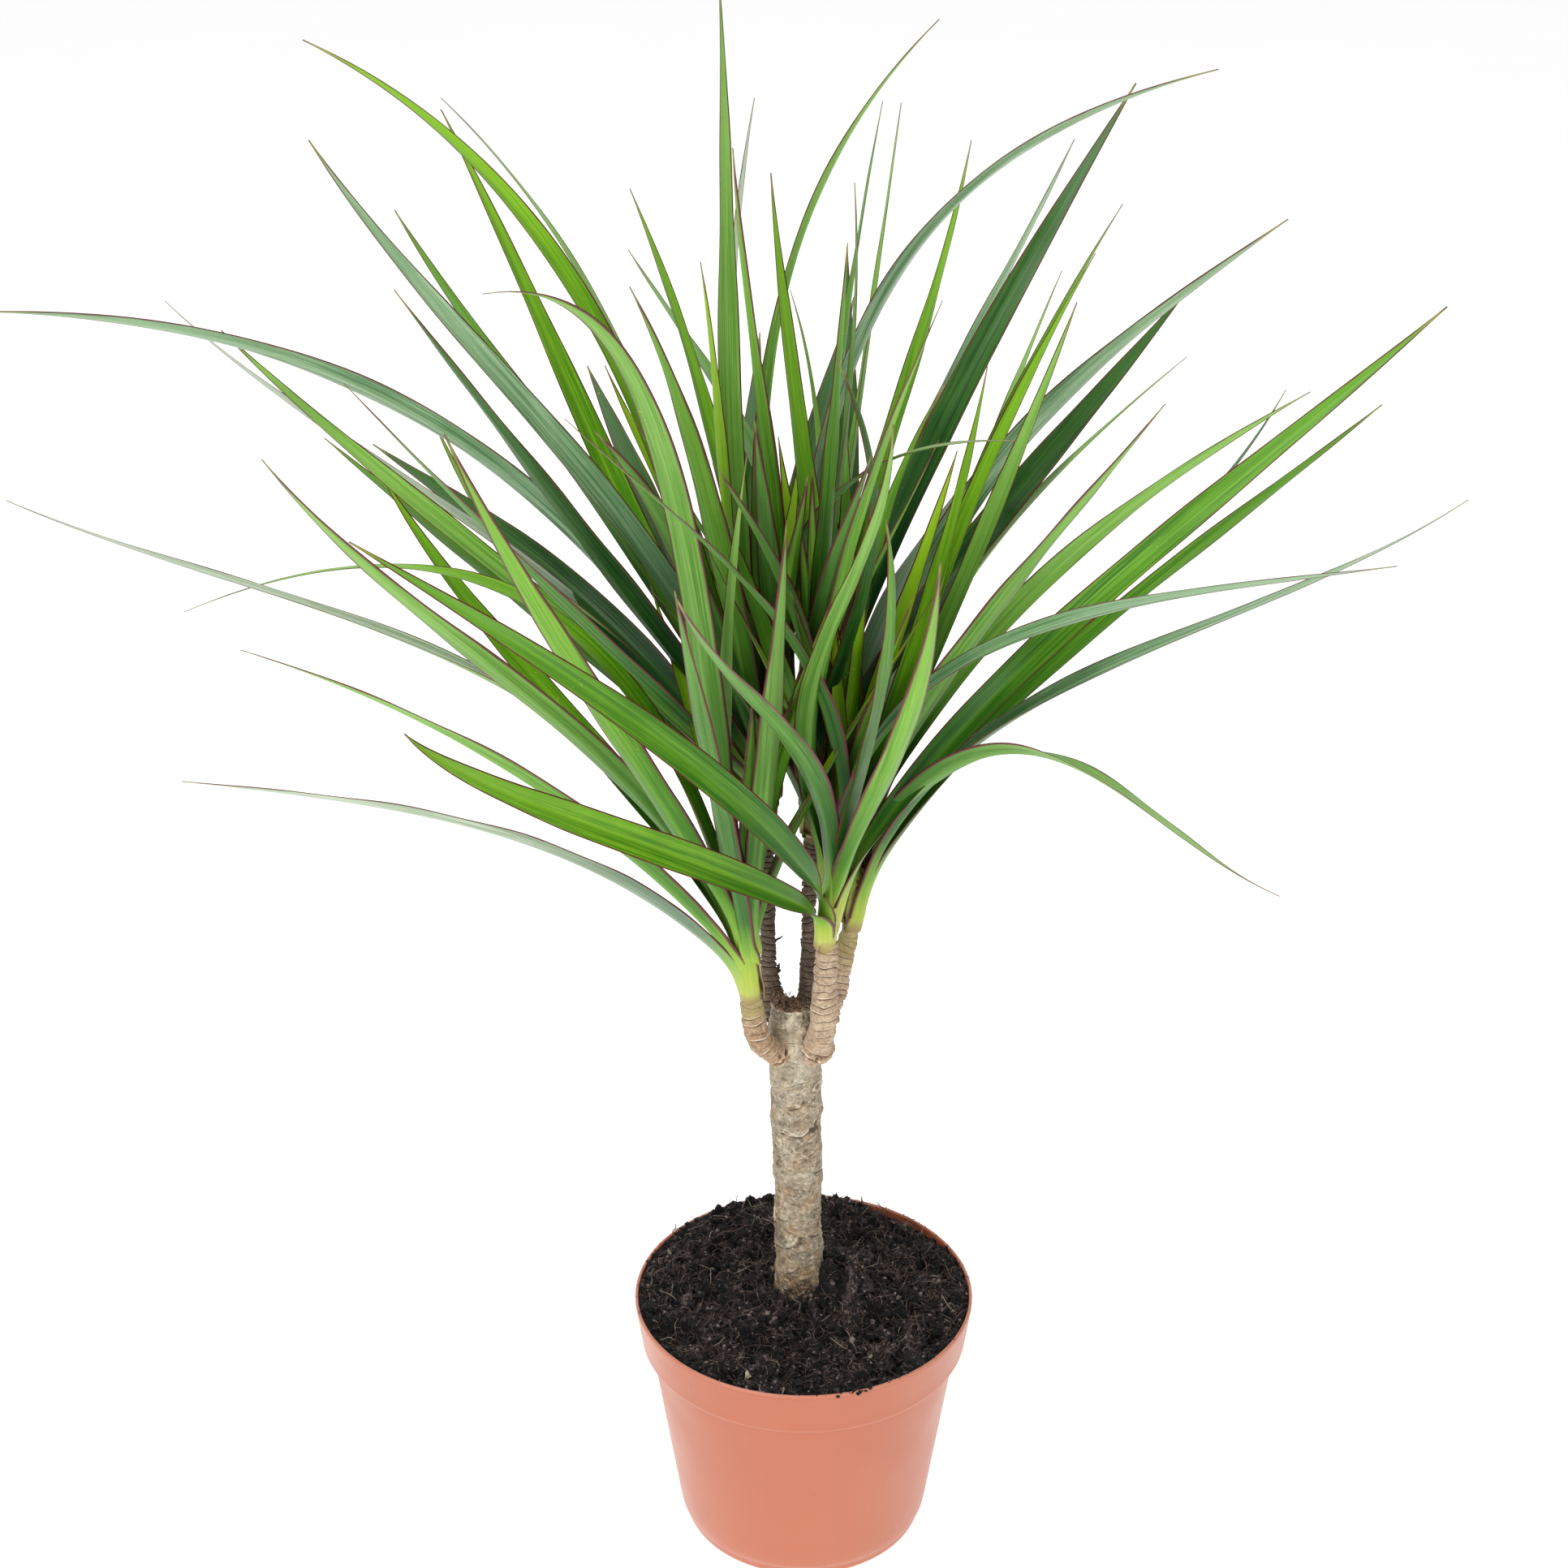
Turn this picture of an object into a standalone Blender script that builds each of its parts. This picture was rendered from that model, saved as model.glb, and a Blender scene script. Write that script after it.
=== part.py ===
"""Potted Madagascar dragon tree: a plastic pot full of soil, one cut-back trunk, five ringed
stems round its top, and a head of long strap leaves on each stem.

Metres, +Z up. The origin is the middle of the pot's flat underside, and -Y is the front.
"""
import math

import bmesh
import bpy
import numpy as np
from mathutils import Vector, noise
from mathutils.bvhtree import BVHTree

MM = 0.001
GAP = 0.3 * MM                  # clearance between pieces that touch
WELD = 1e-7                     # vertices nearer than this are one
TURN_WELD = 0.05 * MM           # and the same on the axis of a turned shape

# Base colours and roughness
POT_LOOK = ((0.72, 0.27, 0.16), 0.42)
SOIL_LOOK = ((0.018, 0.012, 0.012), 0.95)
TRUNK_LOOK = ((0.33, 0.27, 0.19), 0.85)
STEM_LOOK = ((0.36, 0.26, 0.17), 0.8)
LEAF_LOOK = ((0.09, 0.21, 0.03), 0.4)

# Pot: a tapering body, a wider rim band on a soft shoulder, a thin lip
POT_HEIGHT = 133 * MM
POT_WALL = 1.6 * MM
POT_FLOOR = 2.4 * MM
RIM_RADIUS = 85 * MM
BAND_HEIGHT = 26 * MM
BAND_FOOT_RADIUS = 82 * MM
BODY_TOP_RADIUS = 77.5 * MM
BODY_FOOT_RADIUS = 61 * MM
FOOT_ROUND = 4 * MM
SHOULDER = 4 * MM
SHOULDER_SWEEP = -70            # degrees, where the shoulder's arc ends
SHOULDER_STEP = 0.5 * MM        # the body starts this far below the band
ARC_POINTS = 4
POT_STEPS = 44
DRAIN_RADIUS = 4 * MM
DRAIN_RING = 38 * MM
DRAINS = 4
DRAIN_SIDES = 16

# Soil: filled to the lip, heaped at the trunk and higher at the back
SOIL_STEPS = 36
SOIL_RINGS = (79, 68, 54, 40, 26)         # mm, radii of the rings on the rough top
SOIL_LEVEL = POT_HEIGHT - 1.5 * MM
SOIL_EDGE_DROP = 1.2 * MM
SOIL_BACK_RISE = 3 * MM
SOIL_HEAP = 5 * MM
SOIL_HEAP_RADIUS = 45 * MM
SOIL_ROUGH = 2.6 * MM
SOIL_LUMP = 17 * MM
SOIL_FINE = 2.1                 # small lumps to every large one, at half its height
SOIL_FINE_SHARE = 0.5
SOIL_EDGE_KEPT = 0.1 * MM       # the rim of the soil and the seat stay as turned
SEAT_KEPT = 1 * MM
SEAT_RADIUS = 15 * MM
SEAT_LEVEL = 135.1 * MM

# Trunk and stems: points in mm up the middle, and radii in mm at the same points
TRUNK_POINTS = ((-2.1, 0, 135.4), (-2.1, 0, 141), (-2.6, 0, 172), (-3.4, 0, 214),
                (-4.3, 0, 256), (-5.0, 0, 284), (-5.2, 0, 302.6))
TRUNK_RADII = (12.6, 11.9, 11.5, 11.8, 12.3, 12.4, 10.8)
STEMS = {
    "front_left": (((-7, -4, 275), (-13, -8.5, 279), (-20.5, -15, 288), (-24.3, -19.5, 303),
                    (-25.0, -21.0, 314)), (5.0, 5.7, 5.6, 5.4, 5.3)),
    "front_right": (((1, -5, 274), (6, -9.5, 282), (8.7, -14.5, 299), (9.5, -15.8, 322),
                     (10.2, -15.3, 344)), (5.2, 6.5, 6.3, 5.6, 4.8)),
    "right": (((3, 2, 280), (10, 4, 289), (15.8, 6, 306), (19.2, 6.4, 327), (21.2, 6, 336)),
              (4.6, 5.1, 4.8, 4.4, 4.3)),
    "back_left": (((-9, 4, 286), (-14.5, 7.5, 296), (-17.0, 11.5, 312), (-17.9, 17, 344),
                   (-17.8, 22.5, 378)), (3.8, 4.0, 3.6, 3.3, 3.2)),
    "back_right": (((-2, 5, 286), (1.2, 9.5, 297), (2.0, 13.5, 314), (2.2, 19, 344),
                    (2.6, 25.5, 380)), (4.0, 4.2, 3.8, 3.5, 3.4)),
}
LIMB_STEP = 12 * MM
TRUNK_ROUND = 4                 # bevel resolution, which sets the sides of a section
STEM_ROUND = 3
CORE_ROUND = 2
HEAD_TOPS = {                   # mm, the middle of each head's tip
    "front_left": (-27.2, -23.2, 349),
    "front_right": (17.2, -12.6, 388),
    "right": (26.6, 6, 372),
    "back_left": (-17.2, 27.2, 424),
    "back_right": (3.4, 31.4, 426),
}
LEAF_FOOT = 8 * MM              # the lowest leaf's root above the stem's tip
CORE_TOP_RADIUS = 2.6 * MM
CORE_START = 4                  # mm along the stem's line before the core turns to its top

# Leaves, one row each, in the order that they leave the core from its foot up: bearing from +X
# and rise in degrees, reach in mm, bow and flick in hundredths of the reach, turn in degrees.
LEAVES = {
    "front_left": ((164, 30, 319, 33, -2, 2), (63, 90, 264, 4, 0, -38), (210, 33, 312, 8, 1, 28),
                   (242, 63, 430, 18, -5, 11), (172, 33, 401, 12, 3, 15),
                   (212, 43, 321, 6, 0, 25), (188, 52, 332, 5, 3, 55), (252, 68, 242, 0, 0, -26),
                   (147, 44, 290, 0, 2, -5), (286, 75, 250, -1, 0, 28),
                   (126, 34, 333, -1, 1, 22), (221, 62, 327, -1, 1, 32)),
    "front_right": ((231, 37, 324, -1, 4, -75), (340, 41, 324, 20, 3, 6),
                    (214, 46, 332, 13, 1, -72), (26, 41, 330, 13, 1, 5),
                    (256, 46, 359, 5, 2, -16), (4, 47, 384, 9, 2, 41), (282, 54, 293, -3, 1, 22),
                    (339, 61, 293, 5, 1, -34), (276, 59, 279, -3, 1, 52),
                    (278, 65, 296, 8, 4, 30), (300, 24, 337, 16, 4, -29),
                    (225, 59, 305, 11, 2, -12), (29, 65, 280, -1, 0, -2),
                    (14, 75, 244, -3, 0, 13)),
    "right": ((6, 61, 381, 26, 3, -76), (339, 43, 360, 8, 3, 4), (69, 35, 388, 2, 0, -42),
              (46, 42, 319, 11, 1, -38), (1, 47, 333, 5, 1, 11), (37, 65, 316, 5, 0, -15),
              (38, 35, 330, 0, 2, -24), (47, 58, 341, 5, 0, -36), (53, 27, 233, 9, 1, -29)),
    "back_left": ((154, 33, 388, 4, 2, 21), (184, 37, 425, 20, 0, 54), (168, 41, 337, 1, 1, -12),
                  (108, 47, 330, 5, 0, 35), (150, 29, 287, 0, 0, 4), (150, 49, 377, 7, 3, -14),
                  (250, 83, 322, 3, 1, -35), (214, 50, 316, -1, 0, 8), (128, 34, 378, 2, 1, 10),
                  (158, 56, 400, 15, -3, -14), (137, 54, 358, 7, -1, 35),
                  (207, 57, 312, 0, 0, 28), (237, 69, 282, 3, -1, -5),
                  (130, 47, 365, -2, -1, 4), (232, 80, 259, -2, -1, -27),
                  (92, 52, 336, 5, 0, -59), (130, 85, 358, -3, -1, 9), (33, 75, 344, 12, -2, -60)),
    "back_right": ((93, 48, 272, 4, -1, 62), (108, 31, 363, 11, 2, 26), (76, 74, 290, -1, 1, -69),
                   (121, 83, 295, 3, 1, 16), (314, 60, 241, 27, 0, 3), (276, 71, 254, -8, 3, 53),
                   (72, 42, 363, 1, 1, -41), (55, 49, 343, 4, 1, -34), (80, 53, 339, 2, 0, -64),
                   (11, 61, 368, 25, -2, -52), (40, 56, 352, 9, 1, 20), (278, 72, 289, 0, 0, 54),
                   (76, 56, 321, 0, 0, -65), (282, 53, 354, 2, 0, 52)),
}

# The back, which the rows leave thin, is filled by rule, at the golden angle round each head
GOLDEN_ANGLE = 137.508
FILL_TRIES = 60
FILL_MOST = 5
FILL_FIRST = 40                 # bearing of the first head's first filling leaf
FILL_NEXT = 67                  # and the turn from each head to the next
FILL_APART = 11                 # degrees between a filling leaf and any other of its head
FILL_RISE = (14, 50)            # degrees
FILL_RISE_STEP = 0.618
FILL_RISE_SPREAD = 60           # degrees of rise between the core's foot and its top
FILL_REACH = (270, 350)         # mm
FILL_REACH_STEP = 0.382
FILL_BOW = (16, 4)              # hundredths of the reach, for the lowest and the highest
FILL_FLICK = 2
FILL_TURN = 24                  # degrees
FILL_TURN_STEP = 2.4
FILL_SECTOR = (40, 140)         # bearings of the back, the only ones that the rule fills
SPEAR = (80, 150, 2, 0, 0)      # the rolled young leaf: rise, reach, bow, flick, turn

# Blade: width and depth along the leaf, as shares of the full size
LEAF_WIDTH = 15 * MM
SPEAR_WIDTH = 8 * MM
LEAF_DEPTH_SHARE = 0.0115       # keel depth over reach
STATIONS = (0, 0.07, 0.18, 0.32, 0.46, 0.60, 0.75, 0.89, 1)
WIDTH_KNOTS = ((0, 0.95), (0.02, 0.90), (0.06, 0.64), (0.14, 0.72), (0.30, 0.97), (0.45, 1.0),
               (0.62, 0.86), (0.80, 0.52), (0.92, 0.24), (1.0, 0.04))
DEPTH_KNOTS = ((0, 1.0), (0.5, 1.0), (0.8, 0.6), (1.0, 0.12))
TURN_BY = 0.2                   # the blade's turn is complete this far along it
BOW_PEAK = 4                    # scale the bow and the flick to a largest offset of 1
FLICK_PEAK = 10.4
KEEL_BALANCE = 3                # the section's middle lies a third of its depth down
FATTEN = 1.0 * MM               # added to a blade's width and depth in the clearance test
ASIDE = 1                       # degrees, the step by which a leaf moves aside
ASIDE_STEPS = 7

COLLECTION = "potted_madagascar_dragon_tree"


def clear_scene():
    for item in list(bpy.data.objects):
        bpy.data.objects.remove(item, do_unlink=True)


def new_collection(name):
    collection = bpy.data.collections.new(name)
    bpy.context.scene.collection.children.link(collection)
    return collection


def make_material(name, colour, roughness):
    material = bpy.data.materials.new(name)
    material.use_nodes = True
    shader = material.node_tree.nodes["Principled BSDF"]
    shader.inputs["Base Color"].default_value = (*colour, 1)
    shader.inputs["Roughness"].default_value = roughness
    shader.inputs["Metallic"].default_value = 0
    return material


def add_object(name, mesh, collection, material=None):
    item = bpy.data.objects.new(name, mesh)
    collection.objects.link(item)
    if material:
        mesh.materials.clear()
        mesh.materials.append(material)
    return item


def applied(item, name, collection, material=None):
    """The object as one welded mesh with its modifiers applied; the first object is removed."""
    bpy.context.view_layer.update()
    shown = item.evaluated_get(bpy.context.evaluated_depsgraph_get())
    mesh = bpy.data.meshes.new_from_object(shown)
    mesh.transform(item.matrix_world)
    bpy.data.objects.remove(item, do_unlink=True)
    work = bmesh.new()
    work.from_mesh(mesh)
    bmesh.ops.remove_doubles(work, verts=work.verts, dist=WELD)
    bmesh.ops.recalc_face_normals(work, faces=work.faces)
    work.to_mesh(mesh)
    work.free()
    return add_object(name, mesh, collection, material)


def turned(name, profile, steps, collection):
    """The (radius, height) profile turned round the upright axis, ends welded on the axis."""
    mesh = bpy.data.meshes.new(name)
    edges = [(i, i + 1) for i in range(len(profile) - 1)]
    mesh.from_pydata([(r, 0, z) for r, z in profile], edges, [])
    item = add_object(name, mesh, collection)
    screw = item.modifiers.new("turn", "SCREW")
    screw.steps = steps
    screw.render_steps = steps
    screw.use_merge_vertices = True
    screw.merge_threshold = TURN_WELD
    return item


def boolean(item, operation, name, target=None, group=None, solver="EXACT"):
    cut = item.modifiers.new(name, "BOOLEAN")
    cut.operation = operation
    cut.solver = solver
    if group:
        cut.operand_type = "COLLECTION"
        cut.collection = group
    else:
        cut.object = target


def arc(centre, radius, start, end, count):
    """Points on an arc in the (radius, height) plane; angles in degrees from outwards."""
    angles = np.radians(np.linspace(start, end, count))
    return [(centre[0] + radius * math.cos(a), centre[1] + radius * math.sin(a)) for a in angles]


def pot(parts, cutters):
    """Thin-walled pot, a flat underside with drain holes round the middle."""
    band_foot = POT_HEIGHT - BAND_HEIGHT
    lip = POT_WALL / 2
    outer = arc((RIM_RADIUS - lip, POT_HEIGHT - lip), lip, 90, 0, ARC_POINTS)
    outer += arc((BAND_FOOT_RADIUS - SHOULDER, band_foot + SHOULDER), SHOULDER, 0,
                 SHOULDER_SWEEP, ARC_POINTS)
    outer.append((BODY_TOP_RADIUS, band_foot - SHOULDER_STEP))
    outer += arc((BODY_FOOT_RADIUS - FOOT_ROUND, FOOT_ROUND), FOOT_ROUND, 0, -90, ARC_POINTS)
    outer.append((0, 0))
    inner = [(0, POT_FLOOR), (BODY_FOOT_RADIUS - POT_WALL - FOOT_ROUND / 2, POT_FLOOR),
             (BODY_FOOT_RADIUS - POT_WALL, FOOT_ROUND + POT_FLOOR / 2),
             (BODY_TOP_RADIUS - POT_WALL, band_foot - POT_WALL),
             (BAND_FOOT_RADIUS - POT_WALL, band_foot + SHOULDER),
             (RIM_RADIUS - POT_WALL, POT_HEIGHT - lip)]
    body = turned("pot", inner + outer, POT_STEPS, parts)
    for i in range(DRAINS):
        angle = math.tau * (i + 0.5) / DRAINS
        bpy.ops.mesh.primitive_cylinder_add(
            vertices=DRAIN_SIDES, radius=DRAIN_RADIUS, depth=4 * POT_FLOOR,
            location=(DRAIN_RING * math.cos(angle), DRAIN_RING * math.sin(angle), 0))
        hole = bpy.context.object
        hole.name = f"drain_cutter_{i + 1}"
        hole.hide_render = True
        hole.display_type = "WIRE"
        for home in list(hole.users_collection):
            home.objects.unlink(hole)
        cutters.objects.link(hole)
        boolean(body, "DIFFERENCE", hole.name, target=hole)
    body.data.materials.append(make_material("terracotta_plastic", *POT_LOOK))
    return body


def soil(parts):
    """Soil that fills the pot, its top a heap with seeded lumps and a flat seat for the trunk."""
    band_foot = POT_HEIGHT - BAND_HEIGHT
    edge = RIM_RADIUS - POT_WALL - 2 * GAP
    profile = [(0, SEAT_LEVEL), (SEAT_RADIUS, SEAT_LEVEL)]
    for ring in reversed(SOIL_RINGS):
        profile.append((ring * MM, SOIL_LEVEL))
    profile += [(edge, SOIL_LEVEL - SOIL_EDGE_DROP),
                (BAND_FOOT_RADIUS - POT_WALL - GAP, band_foot + SHOULDER),
                (BODY_TOP_RADIUS - POT_WALL - GAP, band_foot - POT_WALL),
                (BODY_FOOT_RADIUS - POT_WALL - GAP, FOOT_ROUND + POT_FLOOR / 2),
                (BODY_FOOT_RADIUS - POT_WALL - FOOT_ROUND / 2 - GAP, POT_FLOOR + GAP),
                (0, POT_FLOOR + GAP)]
    heap = applied(turned("soil", profile, SOIL_STEPS, parts), "soil", parts,
                   make_material("potting_soil", *SOIL_LOOK))
    for vertex in heap.data.vertices:
        spot = vertex.co
        radius = math.hypot(spot.x, spot.y)
        if spot.z < SOIL_LEVEL - SOIL_EDGE_KEPT or radius < SEAT_RADIUS + SEAT_KEPT:
            continue
        near = max(0, 1 - radius / SOIL_HEAP_RADIUS)
        lump = noise.noise(spot / SOIL_LUMP)
        lump += SOIL_FINE_SHARE * noise.noise(spot * SOIL_FINE / SOIL_LUMP)
        spot.z += SOIL_BACK_RISE * spot.y / RIM_RADIUS + SOIL_HEAP * near + SOIL_ROUGH * lump
    return heap


def smooth_line(points, step):
    """Points about one step apart on a smooth cubic curve through the given points, and where
    each lies between them, for reading radii."""
    spots = np.array(points, float)
    ends = np.vstack([2 * spots[0] - spots[1], spots, 2 * spots[-1] - spots[-2]])
    line, place = [spots[0]], [0.0]
    for i in range(len(spots) - 1):
        a, b, c, d = ends[i:i + 4]
        count = max(1, round(np.linalg.norm(c - b) / step))
        for t in np.arange(1, count + 1) / count:
            line.append(0.5 * (2 * b + (c - a) * t + (2 * a - 5 * b + 4 * c - d) * t * t
                               + (3 * b - a - 3 * c + d) * t ** 3))
            place.append(i + t)
    return np.array(line), np.array(place)


def limb(name, points, radii, collection, material, resolution, grow=0.0):
    """A round tapering limb: one ring of vertices at each smoothed point, and flat caps."""
    line, place = smooth_line(np.array(points) * MM, LIMB_STEP)
    if grow:
        line[0] += (line[0] - line[1]) / np.linalg.norm(line[0] - line[1]) * grow
        line[-1] += (line[-1] - line[-2]) / np.linalg.norm(line[-1] - line[-2]) * grow
    curve = bpy.data.curves.new(name, "CURVE")
    curve.dimensions = "3D"
    curve.bevel_depth = MM
    curve.bevel_resolution = resolution
    curve.use_fill_caps = True
    spline = curve.splines.new("POLY")
    spline.points.add(len(line) - 1)
    sizes = np.interp(place, range(len(radii)), radii) + grow / MM
    for point, spot, size in zip(spline.points, line, sizes):
        point.co = (*spot, 1)
        point.radius = size
    item = bpy.data.objects.new(name, curve)
    collection.objects.link(item)
    return applied(item, name, collection, material)


def ramp(x):
    x = np.clip(x, 0, 1)
    return x * x * (3 - 2 * x)


def blade_lines(root, leaf, width, extra=0.0):
    """The left edge, the right edge and the keel of a blade. Its middle leaves the straight line
    from root to tip by bow * 4t(1-t) + flick * 10.4t(1-t)(1-2t) hundredths of its reach, along
    the blade's own normal."""
    bearing, rise, reach, bow, flick, turn = leaf
    bearing, rise, turn = math.radians(bearing), math.radians(rise), math.radians(turn)
    t = np.array(STATIONS, float)
    along = np.array([math.cos(bearing) * math.cos(rise), math.sin(bearing) * math.cos(rise),
                      math.sin(rise)])
    up = np.array([-math.cos(bearing) * math.sin(rise), -math.sin(bearing) * math.sin(rise),
                   math.cos(rise)])
    side = np.cross(along, up)
    normal = up * math.cos(turn) + side * math.sin(turn)
    off = (bow * BOW_PEAK + flick * FLICK_PEAK * (1 - 2 * t)) * t * (1 - t) / 100
    middle = np.array(root) + reach * MM * (t[:, None] * along + off[:, None] * normal)
    forward = np.gradient(middle, t, axis=0)
    forward /= np.linalg.norm(forward, axis=1)[:, None]
    angle = (turn * ramp(t / TURN_BY))[:, None]
    face = up * np.cos(angle) + side * np.sin(angle)
    across = np.cross(forward, face)
    across /= np.linalg.norm(across, axis=1)[:, None]
    down = np.cross(forward, across)
    half = width / 2 * np.interp(t, *zip(*WIDTH_KNOTS)) + extra / 2
    depth = reach * MM * LEAF_DEPTH_SHARE * np.interp(t, *zip(*DEPTH_KNOTS)) + extra / 2
    lift = down * (depth / KEEL_BALANCE)[:, None]
    keel = middle + down * depth[:, None] - lift
    return (middle - across * half[:, None] - lift, middle + across * half[:, None] - lift, keel)


def blade_mesh(root, leaf, width, extra=0.0):
    """Vertices and faces of one blade: three-sided sections lofted from root to tip, capped."""
    rails = blade_lines(root, leaf, width, extra)
    spots = np.stack(rails, axis=1).reshape(-1, 3)
    faces = [(2, 1, 0)]
    last = 3 * (len(STATIONS) - 1)
    for k in range(0, last, 3):
        for a, b in ((0, 1), (1, 2), (2, 0)):
            faces.append((k + a, k + b, k + 3 + b))
            faces.append((k + a, k + 3 + b, k + 3 + a))
    faces.append((last, last + 1, last + 2))
    return [tuple(spot) for spot in spots], faces


def tree_of(item):
    shape = item.data
    return BVHTree.FromPolygons([v.co.copy() for v in shape.vertices],
                                [tuple(p.vertices) for p in shape.polygons])


def moved_aside(leaf, step):
    bearing, rise, *rest = leaf
    return (bearing + ASIDE * step[0], rise + ASIDE * step[1], *rest)


def settle(root, leaf, width, others):
    """The leaf moved aside by the fewest steps that clear every other piece, or None."""
    span = range(-ASIDE_STEPS, ASIDE_STEPS + 1)
    steps = sorted(((a, b) for a in span for b in span), key=lambda s: (s[0] ** 2 + s[1] ** 2, s))
    for step in steps:
        trial = moved_aside(leaf, step)
        tree = BVHTree.FromPolygons(*blade_mesh(root, trial, width, FATTEN))
        if not any(tree.overlap(other) for other in others):
            return trial
    return None


def line_of(leaf):
    bearing, rise = math.radians(leaf[0]), math.radians(leaf[1])
    return Vector((math.cos(bearing) * math.cos(rise), math.sin(bearing) * math.cos(rise),
                   math.sin(rise)))


def filling_leaf(i, first_bearing):
    """The i-th leaf of the filling rule; low leaves bow more than high ones."""
    share = (i * FILL_RISE_STEP) % 1
    rise = FILL_RISE[0] + (FILL_RISE[1] - FILL_RISE[0]) * share
    reach = FILL_REACH[1] - (FILL_REACH[1] - FILL_REACH[0]) * ((i * FILL_REACH_STEP) % 1)
    bearing = (first_bearing + i * GOLDEN_ANGLE) % 360
    bow = FILL_BOW[0] + (FILL_BOW[1] - FILL_BOW[0]) * share
    return (bearing, rise, reach, bow, FILL_FLICK, FILL_TURN * math.sin(FILL_TURN_STEP * i))


def has_room(leaf, kept):
    """Whether a filling leaf points to the back, apart from its head's other leaves."""
    if not FILL_SECTOR[0] < leaf[0] < FILL_SECTOR[1]:
        return False
    line = line_of(leaf)
    return all(math.degrees(line.angle(line_of(other))) > FILL_APART for other in kept)


def shell_volume(faces):
    total = 0.0
    for face in faces:
        a, b, c = (vert.co for vert in face.verts)
        total += a.dot(b.cross(c)) / 6
    return total


def keep_outer_shell(mesh):
    """Drops loose scraps and the walls of hollows that the fusing sealed."""
    work = bmesh.new()
    work.from_mesh(mesh)
    bmesh.ops.triangulate(work, faces=work.faces)
    left = set(work.faces)
    shells = []
    while left:
        shell, front = set(), [left.pop()]
        while front:
            face = front.pop()
            shell.add(face)
            for edge in face.edges:
                for near in edge.link_faces:
                    if near in left:
                        left.remove(near)
                        front.append(near)
        shells.append(shell)
    shells.sort(key=shell_volume)
    for shell in shells[:-1]:
        bmesh.ops.delete(work, geom=list(shell), context="FACES")
    work.to_mesh(mesh)
    work.free()


def core_of(name, parts, material):
    """The short core that carries on its stem's line, and the line that the roots lie on."""
    points, radii = STEMS[name]
    direction = np.array(points[-1], float) - np.array(points[-2], float)
    direction /= np.linalg.norm(direction)
    foot = np.array(points[-1]) + direction * GAP / MM
    top = np.array(HEAD_TOPS[name], float)
    core = limb(f"leaves_{name}", (foot, foot + direction * CORE_START, top),
                (radii[-1], radii[-1], CORE_TOP_RADIUS / MM), parts, material, CORE_ROUND)
    low = (foot + direction * LEAF_FOOT / MM) * MM
    high = top * MM - direction * CORE_TOP_RADIUS
    return core, low, high


def grow(name, leaf, share, width, heads, limbs):
    """Adds one leaf to a head where it clears the limbs and all that the other heads hold."""
    head = heads[name]
    others = list(limbs)
    for other, held in heads.items():
        if other != name:
            others += held["trees"]
    low, high = head["line"]
    root = low + (high - low) * share
    settled = settle(root, leaf, width, others)
    if settled is None:
        return False
    spots, faces = blade_mesh(root, settled, width)
    head["leaves"].append(settled)
    head["trees"].append(BVHTree.FromPolygons(spots, faces))
    head["blades"].append((spots, faces))
    return True


def fill(name, number, heads, limbs):
    """The spear, then filling leaves until there are enough or the rule has no more."""
    grow(name, (FILL_NEXT * number, *SPEAR), 1, SPEAR_WIDTH, heads, limbs)
    added = 0
    for i in range(FILL_TRIES):
        leaf = filling_leaf(i, FILL_FIRST + FILL_NEXT * number)
        share = (leaf[1] - FILL_RISE[0]) / FILL_RISE_SPREAD
        if has_room(leaf, heads[name]["leaves"]):
            added += grow(name, leaf, share, LEAF_WIDTH, heads, limbs)
        if added == FILL_MOST:
            return


def fuse(name, head, parts):
    """One union joins a head's blades to its core. The exact solver left edges that four faces
    share, where blades cross at a slant; the manifold solver leaves none."""
    pile = new_collection(f"blades_{name}")
    for spots, faces in head["blades"]:
        mesh = bpy.data.meshes.new("blade")
        mesh.from_pydata(spots, [], faces)
        add_object("blade", mesh, pile)
    core = head["core"]
    boolean(core, "UNION", "leaves", group=pile, solver="MANIFOLD")
    fused = applied(core, core.name, parts, core.data.materials[0])
    keep_outer_shell(fused.data)
    for blade in list(pile.objects):
        bpy.data.objects.remove(blade, do_unlink=True)
    bpy.data.collections.remove(pile)


def main():
    clear_scene()
    parts = new_collection(COLLECTION)
    cutters = new_collection("cutters")
    pot(parts, cutters)
    soil(parts)
    trunk_bark = make_material("trunk_bark", *TRUNK_LOOK)
    stem_bark = make_material("stem_bark", *STEM_LOOK)
    leaf_green = make_material("leaf_green", *LEAF_LOOK)

    trunk = limb("trunk", TRUNK_POINTS, TRUNK_RADII, parts, trunk_bark, TRUNK_ROUND)
    clearance = limb("trunk_clearance", TRUNK_POINTS, TRUNK_RADII, cutters, None, TRUNK_ROUND,
                     grow=GAP)
    limbs = [tree_of(trunk)]
    for name, (points, radii) in STEMS.items():
        stem = limb(f"stem_{name}", points, radii, parts, stem_bark, STEM_ROUND)
        boolean(stem, "DIFFERENCE", "trunk", target=clearance)
        stem = applied(stem, stem.name, parts, stem_bark)
        keep_outer_shell(stem.data)
        limbs.append(tree_of(stem))
    clearance.hide_render = True
    clearance.display_type = "WIRE"

    heads = {}
    for name in STEMS:
        core, low, high = core_of(name, parts, leaf_green)
        heads[name] = {"core": core, "line": (low, high), "trees": [tree_of(core)],
                       "leaves": [], "blades": []}
    for name, rows in LEAVES.items():
        for i, leaf in enumerate(rows):
            grow(name, leaf, i / len(rows), LEAF_WIDTH, heads, limbs)
    for number, name in enumerate(STEMS):
        fill(name, number, heads, limbs)
    for name, head in heads.items():
        fuse(name, head, parts)


main()
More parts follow.
